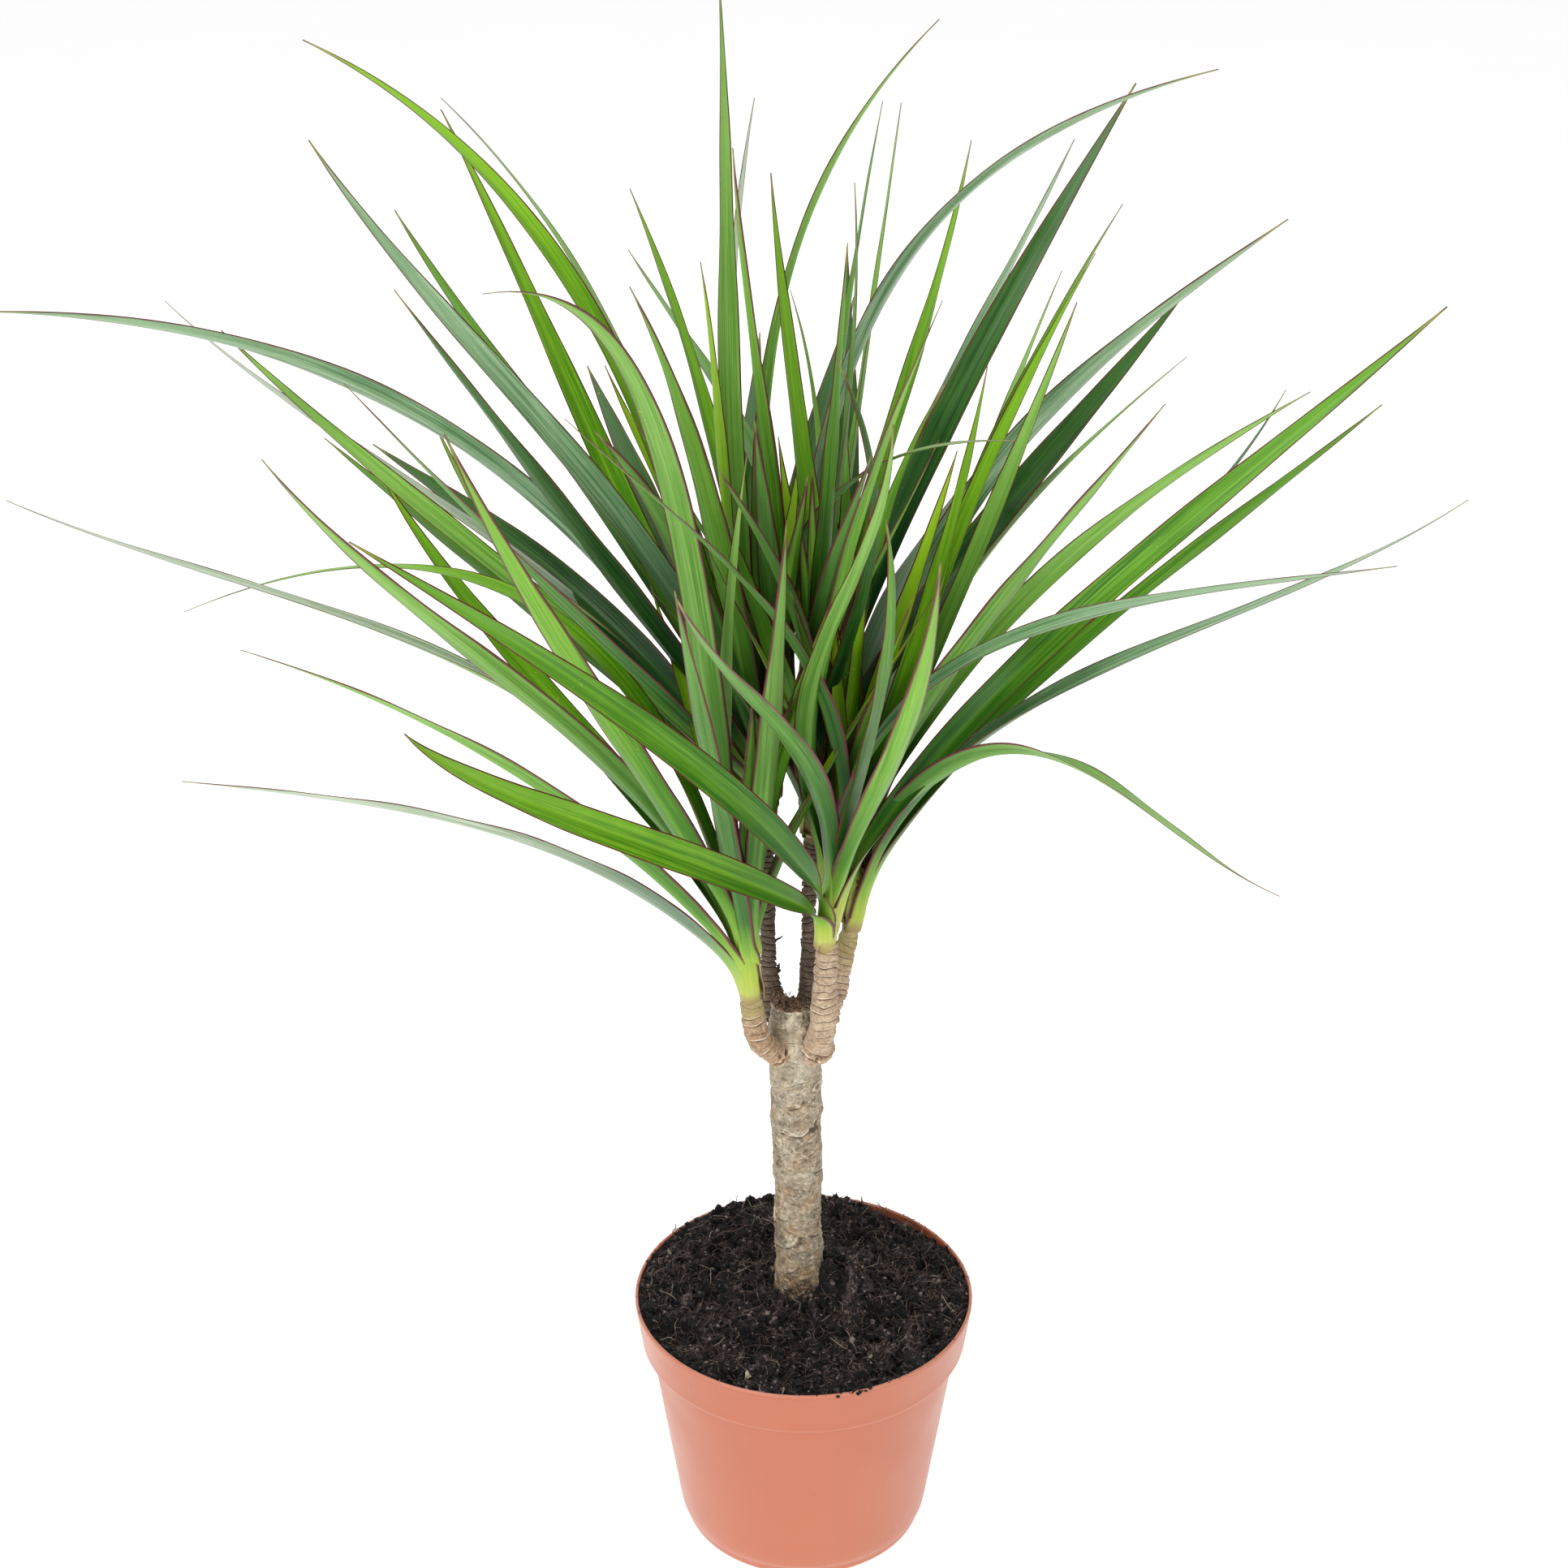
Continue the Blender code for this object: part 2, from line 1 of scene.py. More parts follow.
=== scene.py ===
"""Potted Madagascar dragon tree: pot, soil, bark and leaves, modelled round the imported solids.

Metres, +Z up. The origin is the middle of the pot's flat underside, and -Y faces the camera.
"""
import math

import bpy
import numpy as np
from mathutils.bvhtree import BVHTree
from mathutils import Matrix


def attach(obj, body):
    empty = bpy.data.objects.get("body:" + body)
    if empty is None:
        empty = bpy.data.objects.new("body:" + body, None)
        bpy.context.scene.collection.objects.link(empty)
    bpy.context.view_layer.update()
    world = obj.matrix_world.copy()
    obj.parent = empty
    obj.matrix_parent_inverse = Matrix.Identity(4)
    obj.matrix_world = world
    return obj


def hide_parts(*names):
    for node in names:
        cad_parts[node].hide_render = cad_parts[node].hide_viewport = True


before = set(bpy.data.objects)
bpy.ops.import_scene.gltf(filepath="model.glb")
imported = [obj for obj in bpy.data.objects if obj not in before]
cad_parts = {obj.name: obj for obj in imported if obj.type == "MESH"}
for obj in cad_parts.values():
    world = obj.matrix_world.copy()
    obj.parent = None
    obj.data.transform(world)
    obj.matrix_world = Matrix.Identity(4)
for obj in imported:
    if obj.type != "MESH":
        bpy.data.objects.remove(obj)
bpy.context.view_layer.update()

MM = 0.001
GAP = 0.3 * MM

# Pot
POT_HEIGHT = 133 * MM
POT_WALL = 1.6 * MM
RIM_RADIUS = 85 * MM
DRAIN_RADIUS = 4 * MM
DRAIN_RING = 38 * MM
DRAINS = 4
POT_STEP, POT_COLUMNS = 6 * MM, 224
DRILL_COLUMNS = 40

# Soil
SOIL_LEVEL = POT_HEIGHT - 1.5 * MM
SOIL_EDGE = RIM_RADIUS - POT_WALL - 0.2 * MM
SOIL_BACK_RISE = 3 * MM
SOIL_HEAP = 5 * MM
SOIL_HEAP_RADIUS = 45 * MM
SOIL_BANK = 15 * MM             # height of the bank at the trunk's right side, for the looks
BANK_MIDDLE = (12, -4)          # mm
BANK_REACH = ((9.5, 22), (8, 26))   # mm to the left and right of its middle, front and back
SOIL_LUMPS = 2.7 * MM
HOLLOWS = 4.2 * MM
EDGE_START, EDGE_WIDTH = 72 * MM, 11.4 * MM     # where the soil runs over to its edge level
EDGE_BACK_RISE = 2.6 * MM
EDGE_DIP = 5.4 * MM             # at the back right, at this bearing and this wide in degrees
EDGE_DIP_BEARING, EDGE_DIP_WIDTH = 50, 21
CLODS = ((9.0, 4.4, 11), (4.2, 3.2, 13), (2.0, 1.6, 17))    # size and height in mm, and seed
SOIL_COLUMNS, SOIL_RINGS = 560, 150
# Up the pot's wall inside: radius and height in mm
SOIL_SIDE = ((57.8, 2.9), (60.2, 12), (75.4, 105), (79.2, 109), (83.0, 129.0))
TRUNK_CLEAR = 12.5 * MM         # crumbs and fibres are strewn from here outwards
LOOSE_RADIUS = 81.5 * MM        # the ends of fibres, and the clumps, stay within this
LIP_BITS, LIP_SPECKS = 22, 90   # a spill over the lip's front, and specks all round it
LARGE_CRUMBS, STUCK_CRUMBS = 300, 8     # and how many small ones are stuck to each
SMALL_CRUMBS, TRUNK_CRUMBS = 4300, 240  # loose ones, and more round the trunk
FIBRES, FLAKES = 5200, 46
DEAD_LEAF = (-0.0272, -0.0668)  # m, where its piece lies
# Ragged clumps at the back edge: place, spread and height in mm, and how many crumbs
BACK_CLUMPS = ((-51, 78, 4, 3.0, 34), (-41, 80, 5, 2.2, 40), (-29, 81, 5, 3.2, 46),
               (-19, 81, 4, 2.6, 40), (9, 82, 5, 2.2, 40), (17.5, 81, 3.4, 4.6, 52),
               (24, 80, 3, 3.0, 30), (31, 77, 3, 1.8, 20))
# Long roots on the soil: place in mm, way in degrees, length and thickness in mm
ROOTS = ((45, 35, 170, 26, 0.46), (50, 22, 185, 30, 0.42), (20, 45, 160, 22, 0.38),
         (-50, 40, 20, 24, 0.38), (52, -20, 100, 18, 0.34))
# Twigs at the back edge: place in mm, way, length and thickness in mm
TWIGS = ((-67, 48, (0.3, 0.1, 0.9), 6.5, 0.35), (-66.5, 48.2, (0.7, 0.0, 0.6), 4.5, 0.3),
         (30.5, 77, (0.15, 0, 1.0), 5.0, 0.4), (19, 79, (-0.3, 0, 0.9), 6.5, 0.35))

# Seeds of the random draws, to the last of which each head adds its number
SOIL_SEED, CUT_SEED, HEAD_SEED = 41, 77, 100

# Trunk and stems: points in mm up the middle, and radii in mm at the same points
TRUNK_POINTS = ((-2.1, 0, 135.4), (-2.1, 0, 141), (-2.6, 0, 172), (-3.4, 0, 214),
                (-4.3, 0, 256), (-5.0, 0, 284), (-5.2, 0, 302.6))
TRUNK_RADII = (12.6, 11.9, 11.5, 11.8, 12.3, 12.4, 10.8)
TRUNK_FOOT, TRUNK_FOOT_RADIUS = (-2.1, 0, 127.0), 12.9      # mm, in the soil, for the looks
TRUNK_MIDDLE_RADIUS = 12        # mm, to which the marks on it are measured
STEMS = {
    "front_left": (((-7, -4, 275), (-13, -8.5, 279), (-20.5, -15, 288), (-24.3, -19.5, 303),
                    (-25.0, -21.0, 314)), (5.0, 5.7, 5.6, 5.4, 5.3)),
    "front_right": (((1, -5, 274), (6, -9.5, 282), (8.7, -14.5, 299), (9.5, -15.8, 322),
                     (10.2, -15.3, 344)), (5.2, 6.5, 6.3, 5.6, 4.8)),
    "right": (((3, 2, 280), (10, 4, 289), (15.8, 6, 306), (19.2, 6.4, 327), (21.2, 6, 336)),
              (4.6, 5.1, 4.8, 4.4, 4.3)),
    "back_left": (((-9, 4, 286), (-14.5, 7.5, 296), (-17.0, 11.5, 312), (-17.9, 17, 344),
                   (-17.8, 22.5, 378)), (3.8, 4.0, 3.6, 3.3, 3.2)),
    "back_right": (((-2, 5, 286), (1.2, 9.5, 297), (2.0, 13.5, 314), (2.2, 19, 344),
                    (2.6, 25.5, 380)), (4.0, 4.2, 3.8, 3.5, 3.4)),
}
HEAD_TOPS = {                   # mm, the middle of each head's tip
    "front_left": (-27.2, -23.2, 349),
    "front_right": (17.2, -12.6, 388),
    "right": (26.6, 6, 372),
    "back_left": (-17.2, 27.2, 424),
    "back_right": (3.4, 31.4, 426),
}
LEAF_FOOT = 8 * MM              # the lowest leaf's root above the stem's tip
CORE_TOP_RADIUS = 2.6 * MM

# Leaves, one row each, in the order that they leave the core from its foot up: bearing from +X
# and rise in degrees, reach in mm, bow and flick in hundredths of the reach, turn in degrees.
LEAVES = {
    "front_left": ((164, 30, 319, 33, -2, 2), (63, 90, 264, 4, 0, -38), (210, 33, 312, 8, 1, 28),
                   (242, 63, 430, 18, -5, 11), (172, 33, 401, 12, 3, 15),
                   (212, 43, 321, 6, 0, 25), (188, 52, 332, 5, 3, 55), (252, 68, 242, 0, 0, -26),
                   (147, 44, 290, 0, 2, -5), (286, 75, 250, -1, 0, 28),
                   (126, 34, 333, -1, 1, 22), (221, 62, 327, -1, 1, 32)),
    "front_right": ((231, 37, 324, -1, 4, -75), (340, 41, 324, 20, 3, 6),
                    (214, 46, 332, 13, 1, -72), (26, 41, 330, 13, 1, 5),
                    (256, 46, 359, 5, 2, -16), (4, 47, 384, 9, 2, 41), (282, 54, 293, -3, 1, 22),
                    (339, 61, 293, 5, 1, -34), (276, 59, 279, -3, 1, 52),
                    (278, 65, 296, 8, 4, 30), (300, 24, 337, 16, 4, -29),
                    (225, 59, 305, 11, 2, -12), (29, 65, 280, -1, 0, -2),
                    (14, 75, 244, -3, 0, 13)),
    "right": ((6, 61, 381, 26, 3, -76), (339, 43, 360, 8, 3, 4), (69, 35, 388, 2, 0, -42),
              (46, 42, 319, 11, 1, -38), (1, 47, 333, 5, 1, 11), (37, 65, 316, 5, 0, -15),
              (38, 35, 330, 0, 2, -24), (47, 58, 341, 5, 0, -36), (53, 27, 233, 9, 1, -29)),
    "back_left": ((154, 33, 388, 4, 2, 21), (184, 37, 425, 20, 0, 54), (168, 41, 337, 1, 1, -12),
                  (108, 47, 330, 5, 0, 35), (150, 29, 287, 0, 0, 4), (150, 49, 377, 7, 3, -14),
                  (250, 83, 322, 3, 1, -35), (214, 50, 316, -1, 0, 8), (128, 34, 378, 2, 1, 10),
                  (158, 56, 400, 15, -3, -14), (137, 54, 358, 7, -1, 35),
                  (207, 57, 312, 0, 0, 28), (237, 69, 282, 3, -1, -5),
                  (130, 47, 365, -2, -1, 4), (232, 80, 259, -2, -1, -27),
                  (92, 52, 336, 5, 0, -59), (130, 85, 358, -3, -1, 9), (33, 75, 344, 12, -2, -60)),
    "back_right": ((93, 48, 272, 4, -1, 62), (108, 31, 363, 11, 2, 26), (76, 74, 290, -1, 1, -69),
                   (121, 83, 295, 3, 1, 16), (314, 60, 241, 27, 0, 3), (276, 71, 254, -8, 3, 53),
                   (72, 42, 363, 1, 1, -41), (55, 49, 343, 4, 1, -34), (80, 53, 339, 2, 0, -64),
                   (11, 61, 368, 25, -2, -52), (40, 56, 352, 9, 1, 20), (278, 72, 289, 0, 0, 54),
                   (76, 56, 321, 0, 0, -65), (282, 53, 354, 2, 0, 52)),
}

# The filling rule, as in the solids
GOLDEN_ANGLE = 137.508
FILL_TRIES = 60
FILL_MOST = 5
FILL_FIRST = 40
FILL_NEXT = 67
FILL_APART = 11
FILL_RISE = (14, 50)
FILL_RISE_STEP = 0.618
FILL_RISE_SPREAD = 60
FILL_REACH = (270, 350)
FILL_REACH_STEP = 0.382
FILL_BOW = (16, 4)
FILL_FLICK = 2
FILL_TURN = 24
FILL_TURN_STEP = 2.4
FILL_SECTOR = (40, 140)
SPEAR = (80, 150, 2, 0, 0)

# Blade
LEAF_WIDTH = 15 * MM
SPEAR_WIDTH = 8 * MM
LEAF_DEPTH_SHARE = 0.0115
STATIONS = (0, 0.07, 0.18, 0.32, 0.46, 0.60, 0.75, 0.89, 1)
WIDTH_KNOTS = ((0, 0.95), (0.02, 0.90), (0.06, 0.64), (0.14, 0.72), (0.30, 0.97), (0.45, 1.0),
               (0.62, 0.86), (0.80, 0.52), (0.92, 0.24), (1.0, 0.04))
DEPTH_KNOTS = ((0, 1.0), (0.5, 1.0), (0.8, 0.6), (1.0, 0.12))
TURN_BY = 0.2
BOW_PEAK = 4
FLICK_PEAK = 10.4
KEEL_BALANCE = 3
FATTEN = 1.0 * MM
ASIDE_STEPS = 7

# Finer leaf shape, for the looks
SHEATH = 15 * MM                # how far a leaf's clasping foot runs down its stem
FOOT_DROPS = {                  # mm, how far the lowest feet reach below the stem's tip
    "front_left": -3, "front_right": 4, "right": -3, "back_left": 2, "back_right": 2}
JOIN = 0.11                     # share of the reach where foot and blade meet
FOOT_ROWS = 18
BLADE_ROWS = 56
MARGIN_WIDTH = 0.62 * MM
COLUMNS = (-0.74, -0.48, -0.24, -0.05, 0.05, 0.24, 0.48, 0.74)
YOUNG_PER_HEAD = 4
SPEAR_CURL, YOUNG_CURL = 5.0, 1.6   # how much more their sections curl than a grown leaf's

# The top side of each row's leaf: bright, mid, deep, glossy, pale, soft or yellow green. Deep
# # is partly painted shade, and glossy and pale carry a painted whitish sheen in their colour. A
# # capital says that the blade is turned so far that its underside has the top's finish too.
ROW_TONES = {
    "front_left": "bsPspssmbsbb",
    "front_right": "bgMsmmbsMSsmsb",
    "right": "GgsbmbDbb",
    "back_left": "pGsbmgbmmbsDbbYpsS",
    "back_right": "bmmbmDbgMGdMsb",
}
OTHER_TONES = {"spear": "y", "filler": "d", "inner": "m"}
# Leaves that only the looks have, which fill the heart of the crown, in rows as in LEAVES
INNER_WIDTH = 13 * MM
INNER_LEAVES = {
    "front_left": ((40, 66, 215, 6, 1, 20), (75, 60, 235, 7, -1, -15), (10, 72, 190, 5, 1, 30)),
    "front_right": ((168, 62, 175, 8, 1, 25), (148, 70, 205, 6, 1, -20), (105, 66, 235, 7, 1, 10),
                    (60, 62, 235, 8, -1, -25)),
    "right": ((140, 64, 215, 7, 1, 20), (95, 68, 220, 6, -1, -10)),
    "back_left": ((-60, 60, 225, 7, 1, 20), (-95, 68, 215, 6, 1, -15), (-130, 62, 235, 8, -1, 25),
                  (-20, 66, 220, 6, 1, -25)),
    "back_right": ((-75, 64, 230, 7, 1, 15), (-110, 60, 235, 8, 1, -20),
                   (-150, 66, 215, 6, -1, 25), (-40, 58, 240, 8, 1, -10)),
}


# Numbers and noise

CELL_PRIMES = (73856093, 19349663, 83492791)
SEED_STEP, SEED_START = 7919, 1013
MIX_STEPS = ((13, 1274126177), (15, 2246822519))
LOW_BITS = np.uint64(0xFFFFFFFF)


def lattice(cells, seed):
    """A repeatable value from 0 to 1 for each whole-numbered cell: its numbers times primes,
    mixed bit by bit with the seed, then shifted and multiplied twice."""
    mixed = np.uint64(seed * SEED_STEP + SEED_START)
    for k, prime in enumerate(CELL_PRIMES):
        cell = (cells[..., k].astype(np.int64) & 0xFFFFFFFF).astype(np.uint64)
        mixed = mixed ^ cell * np.uint64(prime)
    mixed = mixed & LOW_BITS
    for shift, prime in MIX_STEPS:
        mixed = (mixed ^ (mixed >> np.uint64(shift))) * np.uint64(prime) & LOW_BITS
    return ((mixed >> np.uint64(8)) & np.uint64(0xFFFF)).astype(float) / 0xFFFF


def soft_noise(spots, seed=0):
    """Noise from -1 to 1: the eight corner values of a spot's cell, blended by 3f^2 - 2f^3."""
    base = np.floor(spots)
    part = spots - base
    part = part * part * (3 - 2 * part)
    total = np.zeros(spots.shape[:-1])
    for corner in range(8):
        step = np.array([corner & 1, corner >> 1 & 1, corner >> 2])
        weight = np.prod(np.where(step, part, 1 - part), axis=-1)
        total += weight * lattice(base + step, seed)
    return 2 * total - 1


def layered(spots, octaves, seed=0):
    """Noise of halving size: the sum of soft noise at 1, 2, 4... times the rate, over 1, 2, 4."""
    total = np.zeros(spots.shape[:-1])
    for k in range(octaves):
        total += soft_noise(spots * 2.0 ** k + 17.3 * k, seed + k) / 2.0 ** k
    return total


def noise_mm(spots, size, seed):
    """Soft noise with cells of the given size in mm."""
    return soft_noise(spots / (size * MM), seed)


def layers_mm(spots, size, octaves, seed):
    """Layered noise whose widest cells have the given size in mm."""
    return layered(spots / (size * MM), octaves, seed)


def ramp(x):
    """A soft step from 0 to 1: 3x^2 - 2x^3."""
    x = np.clip(x, 0, 1)
    return x * x * (3 - 2 * x)


def knots(t, pairs):
    """The value at t on straight lines between (place, value) pairs."""
    return np.interp(t, *zip(*pairs))


def unit(vectors):
    return vectors / np.maximum(np.linalg.norm(vectors, axis=-1, keepdims=True), 1e-12)


def round_the(columns):
    return np.arange(columns) * math.tau / columns


def polar(radius, angle, height):
    """Points at a distance, a bearing and a height from the upright axis."""
    return np.stack(np.broadcast_arrays(radius * np.cos(angle), radius * np.sin(angle), height),
                    -1)


def hump(x, middle, width):
    """A bell of height 1 at the middle: e to the power -((x - middle) / width)^2."""
    return np.exp(-((x - middle) / width) ** 2)


# Meshes

def grid_faces(rows, columns):
    """Quads between neighbouring rows and columns, with the last column joined to the first."""
    r = np.arange(rows - 1)[:, None] * columns
    c = np.arange(columns)[None, :]
    n = (c + 1) % columns
    quads = np.stack([r + c, r + n, r + columns + n, r + columns + c], axis=-1)
    return quads.reshape(-1, 4)


def rings_of(profile, columns):
    """Rings of points round the upright axis, one for each (radius, height) of the profile."""
    return polar(profile[:, :1], round_the(columns), profile[:, 1:])


def closed_rings(rows, low, high):
    """Points and faces of rings joined by quads, and by triangles to a pole at either end."""
    count, columns = rows.shape[0] * rows.shape[1], rows.shape[1]
    around = np.arange(columns)
    after = (around + 1) % columns
    top = count - columns
    first = np.stack([np.full(columns, count), after, around], 1)
    last = np.stack([np.full(columns, count + 1), top + around, top + after], 1)
    return (np.concatenate([rows.reshape(-1, 3), [low, high]]),
            [grid_faces(len(rows), columns), first, last])


class Shell:
    """Vertices, faces, face zones and vertex values of one piece, gathered part by part."""

    def __init__(self, *values):
        self.spots, self.faces, self.zones, self.uv, self.count = [], [], [], [], 0
        self.values = {name: [] for name in values}

    def add(self, spots, face_sets, zones=None, uv=None, **values):
        """One part: its vertices, sets of faces with their zones, its map and vertex values."""
        spots = spots.reshape(-1, 3)
        for faces, zone in zip(face_sets, zones or [0] * len(face_sets)):
            self.faces.append(np.asarray(faces) + self.count)
            self.zones.append(np.broadcast_to(zone, len(faces)))
        self.spots.append(spots)
        self.uv.append(np.zeros((len(spots), 2)) if uv is None else uv.reshape(-1, 2))
        for name, kept in self.values.items():
            value = np.asarray(values.get(name, 0.0), float)
            kept.append(np.broadcast_to(value.ravel(), len(spots)))
        self.count += len(spots)

    def build(self, name, materials, smooth=True):
        """The mesh object. Its faces are turned round if the volume they enclose is negative."""
        spots = np.concatenate(self.spots)
        volume = 0.0
        for faces in self.faces:
            first = spots[faces[:, 0]]
            for k in range(1, faces.shape[1] - 1):
                volume += np.sum(first * np.cross(spots[faces[:, k]], spots[faces[:, k + 1]]))
        faces = [f[:, ::-1] if volume < 0 else f for f in self.faces]
        corners = np.concatenate([f.ravel() for f in faces]).astype(np.int32)
        sizes = np.concatenate([np.full(len(f), f.shape[1]) for f in faces])
        starts = np.concatenate([[0], np.cumsum(sizes)[:-1]]).astype(np.int32)
        mesh = bpy.data.meshes.new(name)
        mesh.vertices.add(len(spots))
        mesh.vertices.foreach_set("co", spots.astype(np.float32).ravel())
        mesh.loops.add(len(corners))
        mesh.loops.foreach_set("vertex_index", corners)
        mesh.polygons.add(len(sizes))
        mesh.polygons.foreach_set("loop_start", starts)
        mesh.polygons.foreach_set("material_index", np.concatenate(self.zones).astype(np.int32))
        mesh.polygons.foreach_set("use_smooth", np.full(len(sizes), smooth))
        mesh.update(calc_edges=True)
        layer = mesh.uv_layers.new(name="UVMap")
        layer.data.foreach_set("uv", np.concatenate(self.uv)[corners].astype(np.float32).ravel())
        for value, kept in self.values.items():
            held = mesh.attributes.new(value, "FLOAT", "POINT")
            held.data.foreach_set("value", np.concatenate(kept).astype(np.float32))
        mesh.validate()
        for material in materials:
            mesh.materials.append(material)
        item = bpy.data.objects.new(name, mesh)
        bpy.context.scene.collection.objects.link(item)
        return item


def smooth_line(points, step):
    """Points about one step apart on a smooth cubic curve through the given points, and where
    each lies between them, for reading radii."""
    spots = np.array(points, float)
    ends = np.vstack([2 * spots[0] - spots[1], spots, 2 * spots[-1] - spots[-2]])
    line, place = [spots[:1]], [np.zeros(1)]
    for i in range(len(spots) - 1):
        a, b, c, d = ends[i:i + 4]
        count = max(1, round(np.linalg.norm(c - b) / step))
        t = (np.arange(1, count + 1) / count)[:, None]
        line.append(0.5 * (2 * b + (c - a) * t + (2 * a - 5 * b + 4 * c - d) * t * t
                           + (3 * b - a - 3 * c + d) * t ** 3))
        place.append(i + t[:, 0])
    return np.concatenate(line), np.concatenate(place)


def ring_frames(line):
    """The direction of a path at each point, and two directions across it that don't twist."""
    forward = unit(np.gradient(line, axis=0))
    aside = np.array([1.0, 0, 0]) - forward * forward[:, :1]
    aside = unit(aside)
    return forward, aside, np.cross(forward, aside)


def along_path(line):
    return np.concatenate([[0], np.cumsum(np.linalg.norm(np.diff(line, axis=0), axis=1))])


def thin_tubes(shell, starts, headings, lengths, radii, curl, tones, steps, sides, seed):
    """Many small curved tubes at once. Each path starts at its spot and adds equal steps along a
    heading that a smooth noise of the step number turns by the curl; rings of a few points,
    narrower at both ends, lie round it."""
    number = len(starts)
    k = np.arange(steps + 1)
    wander = np.stack([soft_noise(np.stack(np.broadcast_arrays(
        k[None, :] * 0.45 + 9.1 * axis, np.arange(number)[:, None] * 3.7, axis * 5.0), -1),
        seed + axis) for axis in range(3)], -1)
    heading = unit(headings[:, None, :] + curl * wander)
    path = starts[:, None, :] + np.cumsum(heading * (lengths / steps)[:, None, None], axis=1)
    across = unit(np.cross(heading, np.array([0.3, 0.2, 0.93])))
    over = np.cross(heading, across)
    angle = round_the(sides)
    taper = (0.35 + 0.65 * np.sin(np.pi * np.clip(k / steps, 0.08, 0.92)))[None, :, None]
    size = radii[:, None, None] * taper
    ring = (path[:, :, None, :]
            + (size * np.cos(angle))[..., None] * across[:, :, None, :]
            + (size * np.sin(angle))[..., None] * over[:, :, None, :])
    each = (steps + 1) * sides
    base = np.arange(number)[:, None, None] * each
    walls = (grid_faces(steps + 1, sides)[None] + base).reshape(-1, 4)
    first = np.arange(sides)[::-1][None, None] + base
    last = (each - sides + np.arange(sides))[None, None] + base
    ends = np.concatenate([first.reshape(-1, sides), last.reshape(-1, sides)])
    shell.add(ring, [walls, ends], tone=np.repeat(np.broadcast_to(tones, number), each))


GOLD = (1 + 5 ** 0.5) / 2
BALL = unit(np.array([(-1, GOLD, 0), (1, GOLD, 0), (-1, -GOLD, 0), (1, -GOLD, 0), (0, -1, GOLD),
                      (0, 1, GOLD), (0, -1, -GOLD), (0, 1, -GOLD), (GOLD, 0, -1), (GOLD, 0, 1),
                      (-GOLD, 0, -1), (-GOLD, 0, 1)], float))
BALL_FACES = np.array([(0, 11, 5), (0, 5, 1), (0, 1, 7), (0, 7, 10), (0, 10, 11), (1, 5, 9),
                       (5, 11, 4), (11, 10, 2), (10, 7, 6), (7, 1, 8), (3, 9, 4), (3, 4, 2),
                       (3, 2, 6), (3, 6, 8), (3, 8, 9), (4, 9, 5), (2, 4, 11), (6, 2, 10),
                       (8, 6, 7), (9, 8, 1)])


def finer_ball(spots, faces):
    """Each triangle of a ball cut in four, with the new corners pushed out to the ball."""
    pairs = np.sort(np.concatenate([faces[:, (0, 1)], faces[:, (1, 2)], faces[:, (2, 0)]]), axis=1)
    edges, where = np.unique(pairs, axis=0, return_inverse=True)
    middles = unit(spots[edges[:, 0]] + spots[edges[:, 1]])
    ab, bc, ca = (len(spots) + where.ravel().reshape(3, -1))
    a, b, c = faces.T
    cut = np.concatenate([np.stack(s, 1) for s in
                          ((a, ab, ca), (b, bc, ab), (c, ca, bc), (ab, bc, ca))])
    return np.concatenate([spots, middles]), cut


def lumps(shell, spots, sizes, flats, tones, fine, seed):
    """Many rough lumps at once: a ball whose radius follows noise, flattened along Z."""
    ball, faces = finer_ball(BALL, BALL_FACES) if fine else (BALL, BALL_FACES)
    number = len(spots)
    seeds = np.arange(number)[:, None, None] * 11.7
    rough = 1 + 0.55 * soft_noise(ball[None] * 2.1 + seeds, seed)
    if fine:
        rough += 0.42 * soft_noise(ball[None] * 5.3 + seeds, seed + 1)
    shape = ball[None] * rough[..., None] * sizes[:, None, None]
    shape[..., 2] *= np.reshape(flats, (-1, 1))
    every = (faces[None] + np.arange(number)[:, None, None] * len(ball)).reshape(-1, 3)
    shell.add(spots[:, None, :] + shape, [every],
              tone=np.repeat(np.broadcast_to(tones, number), len(ball)))


# Materials

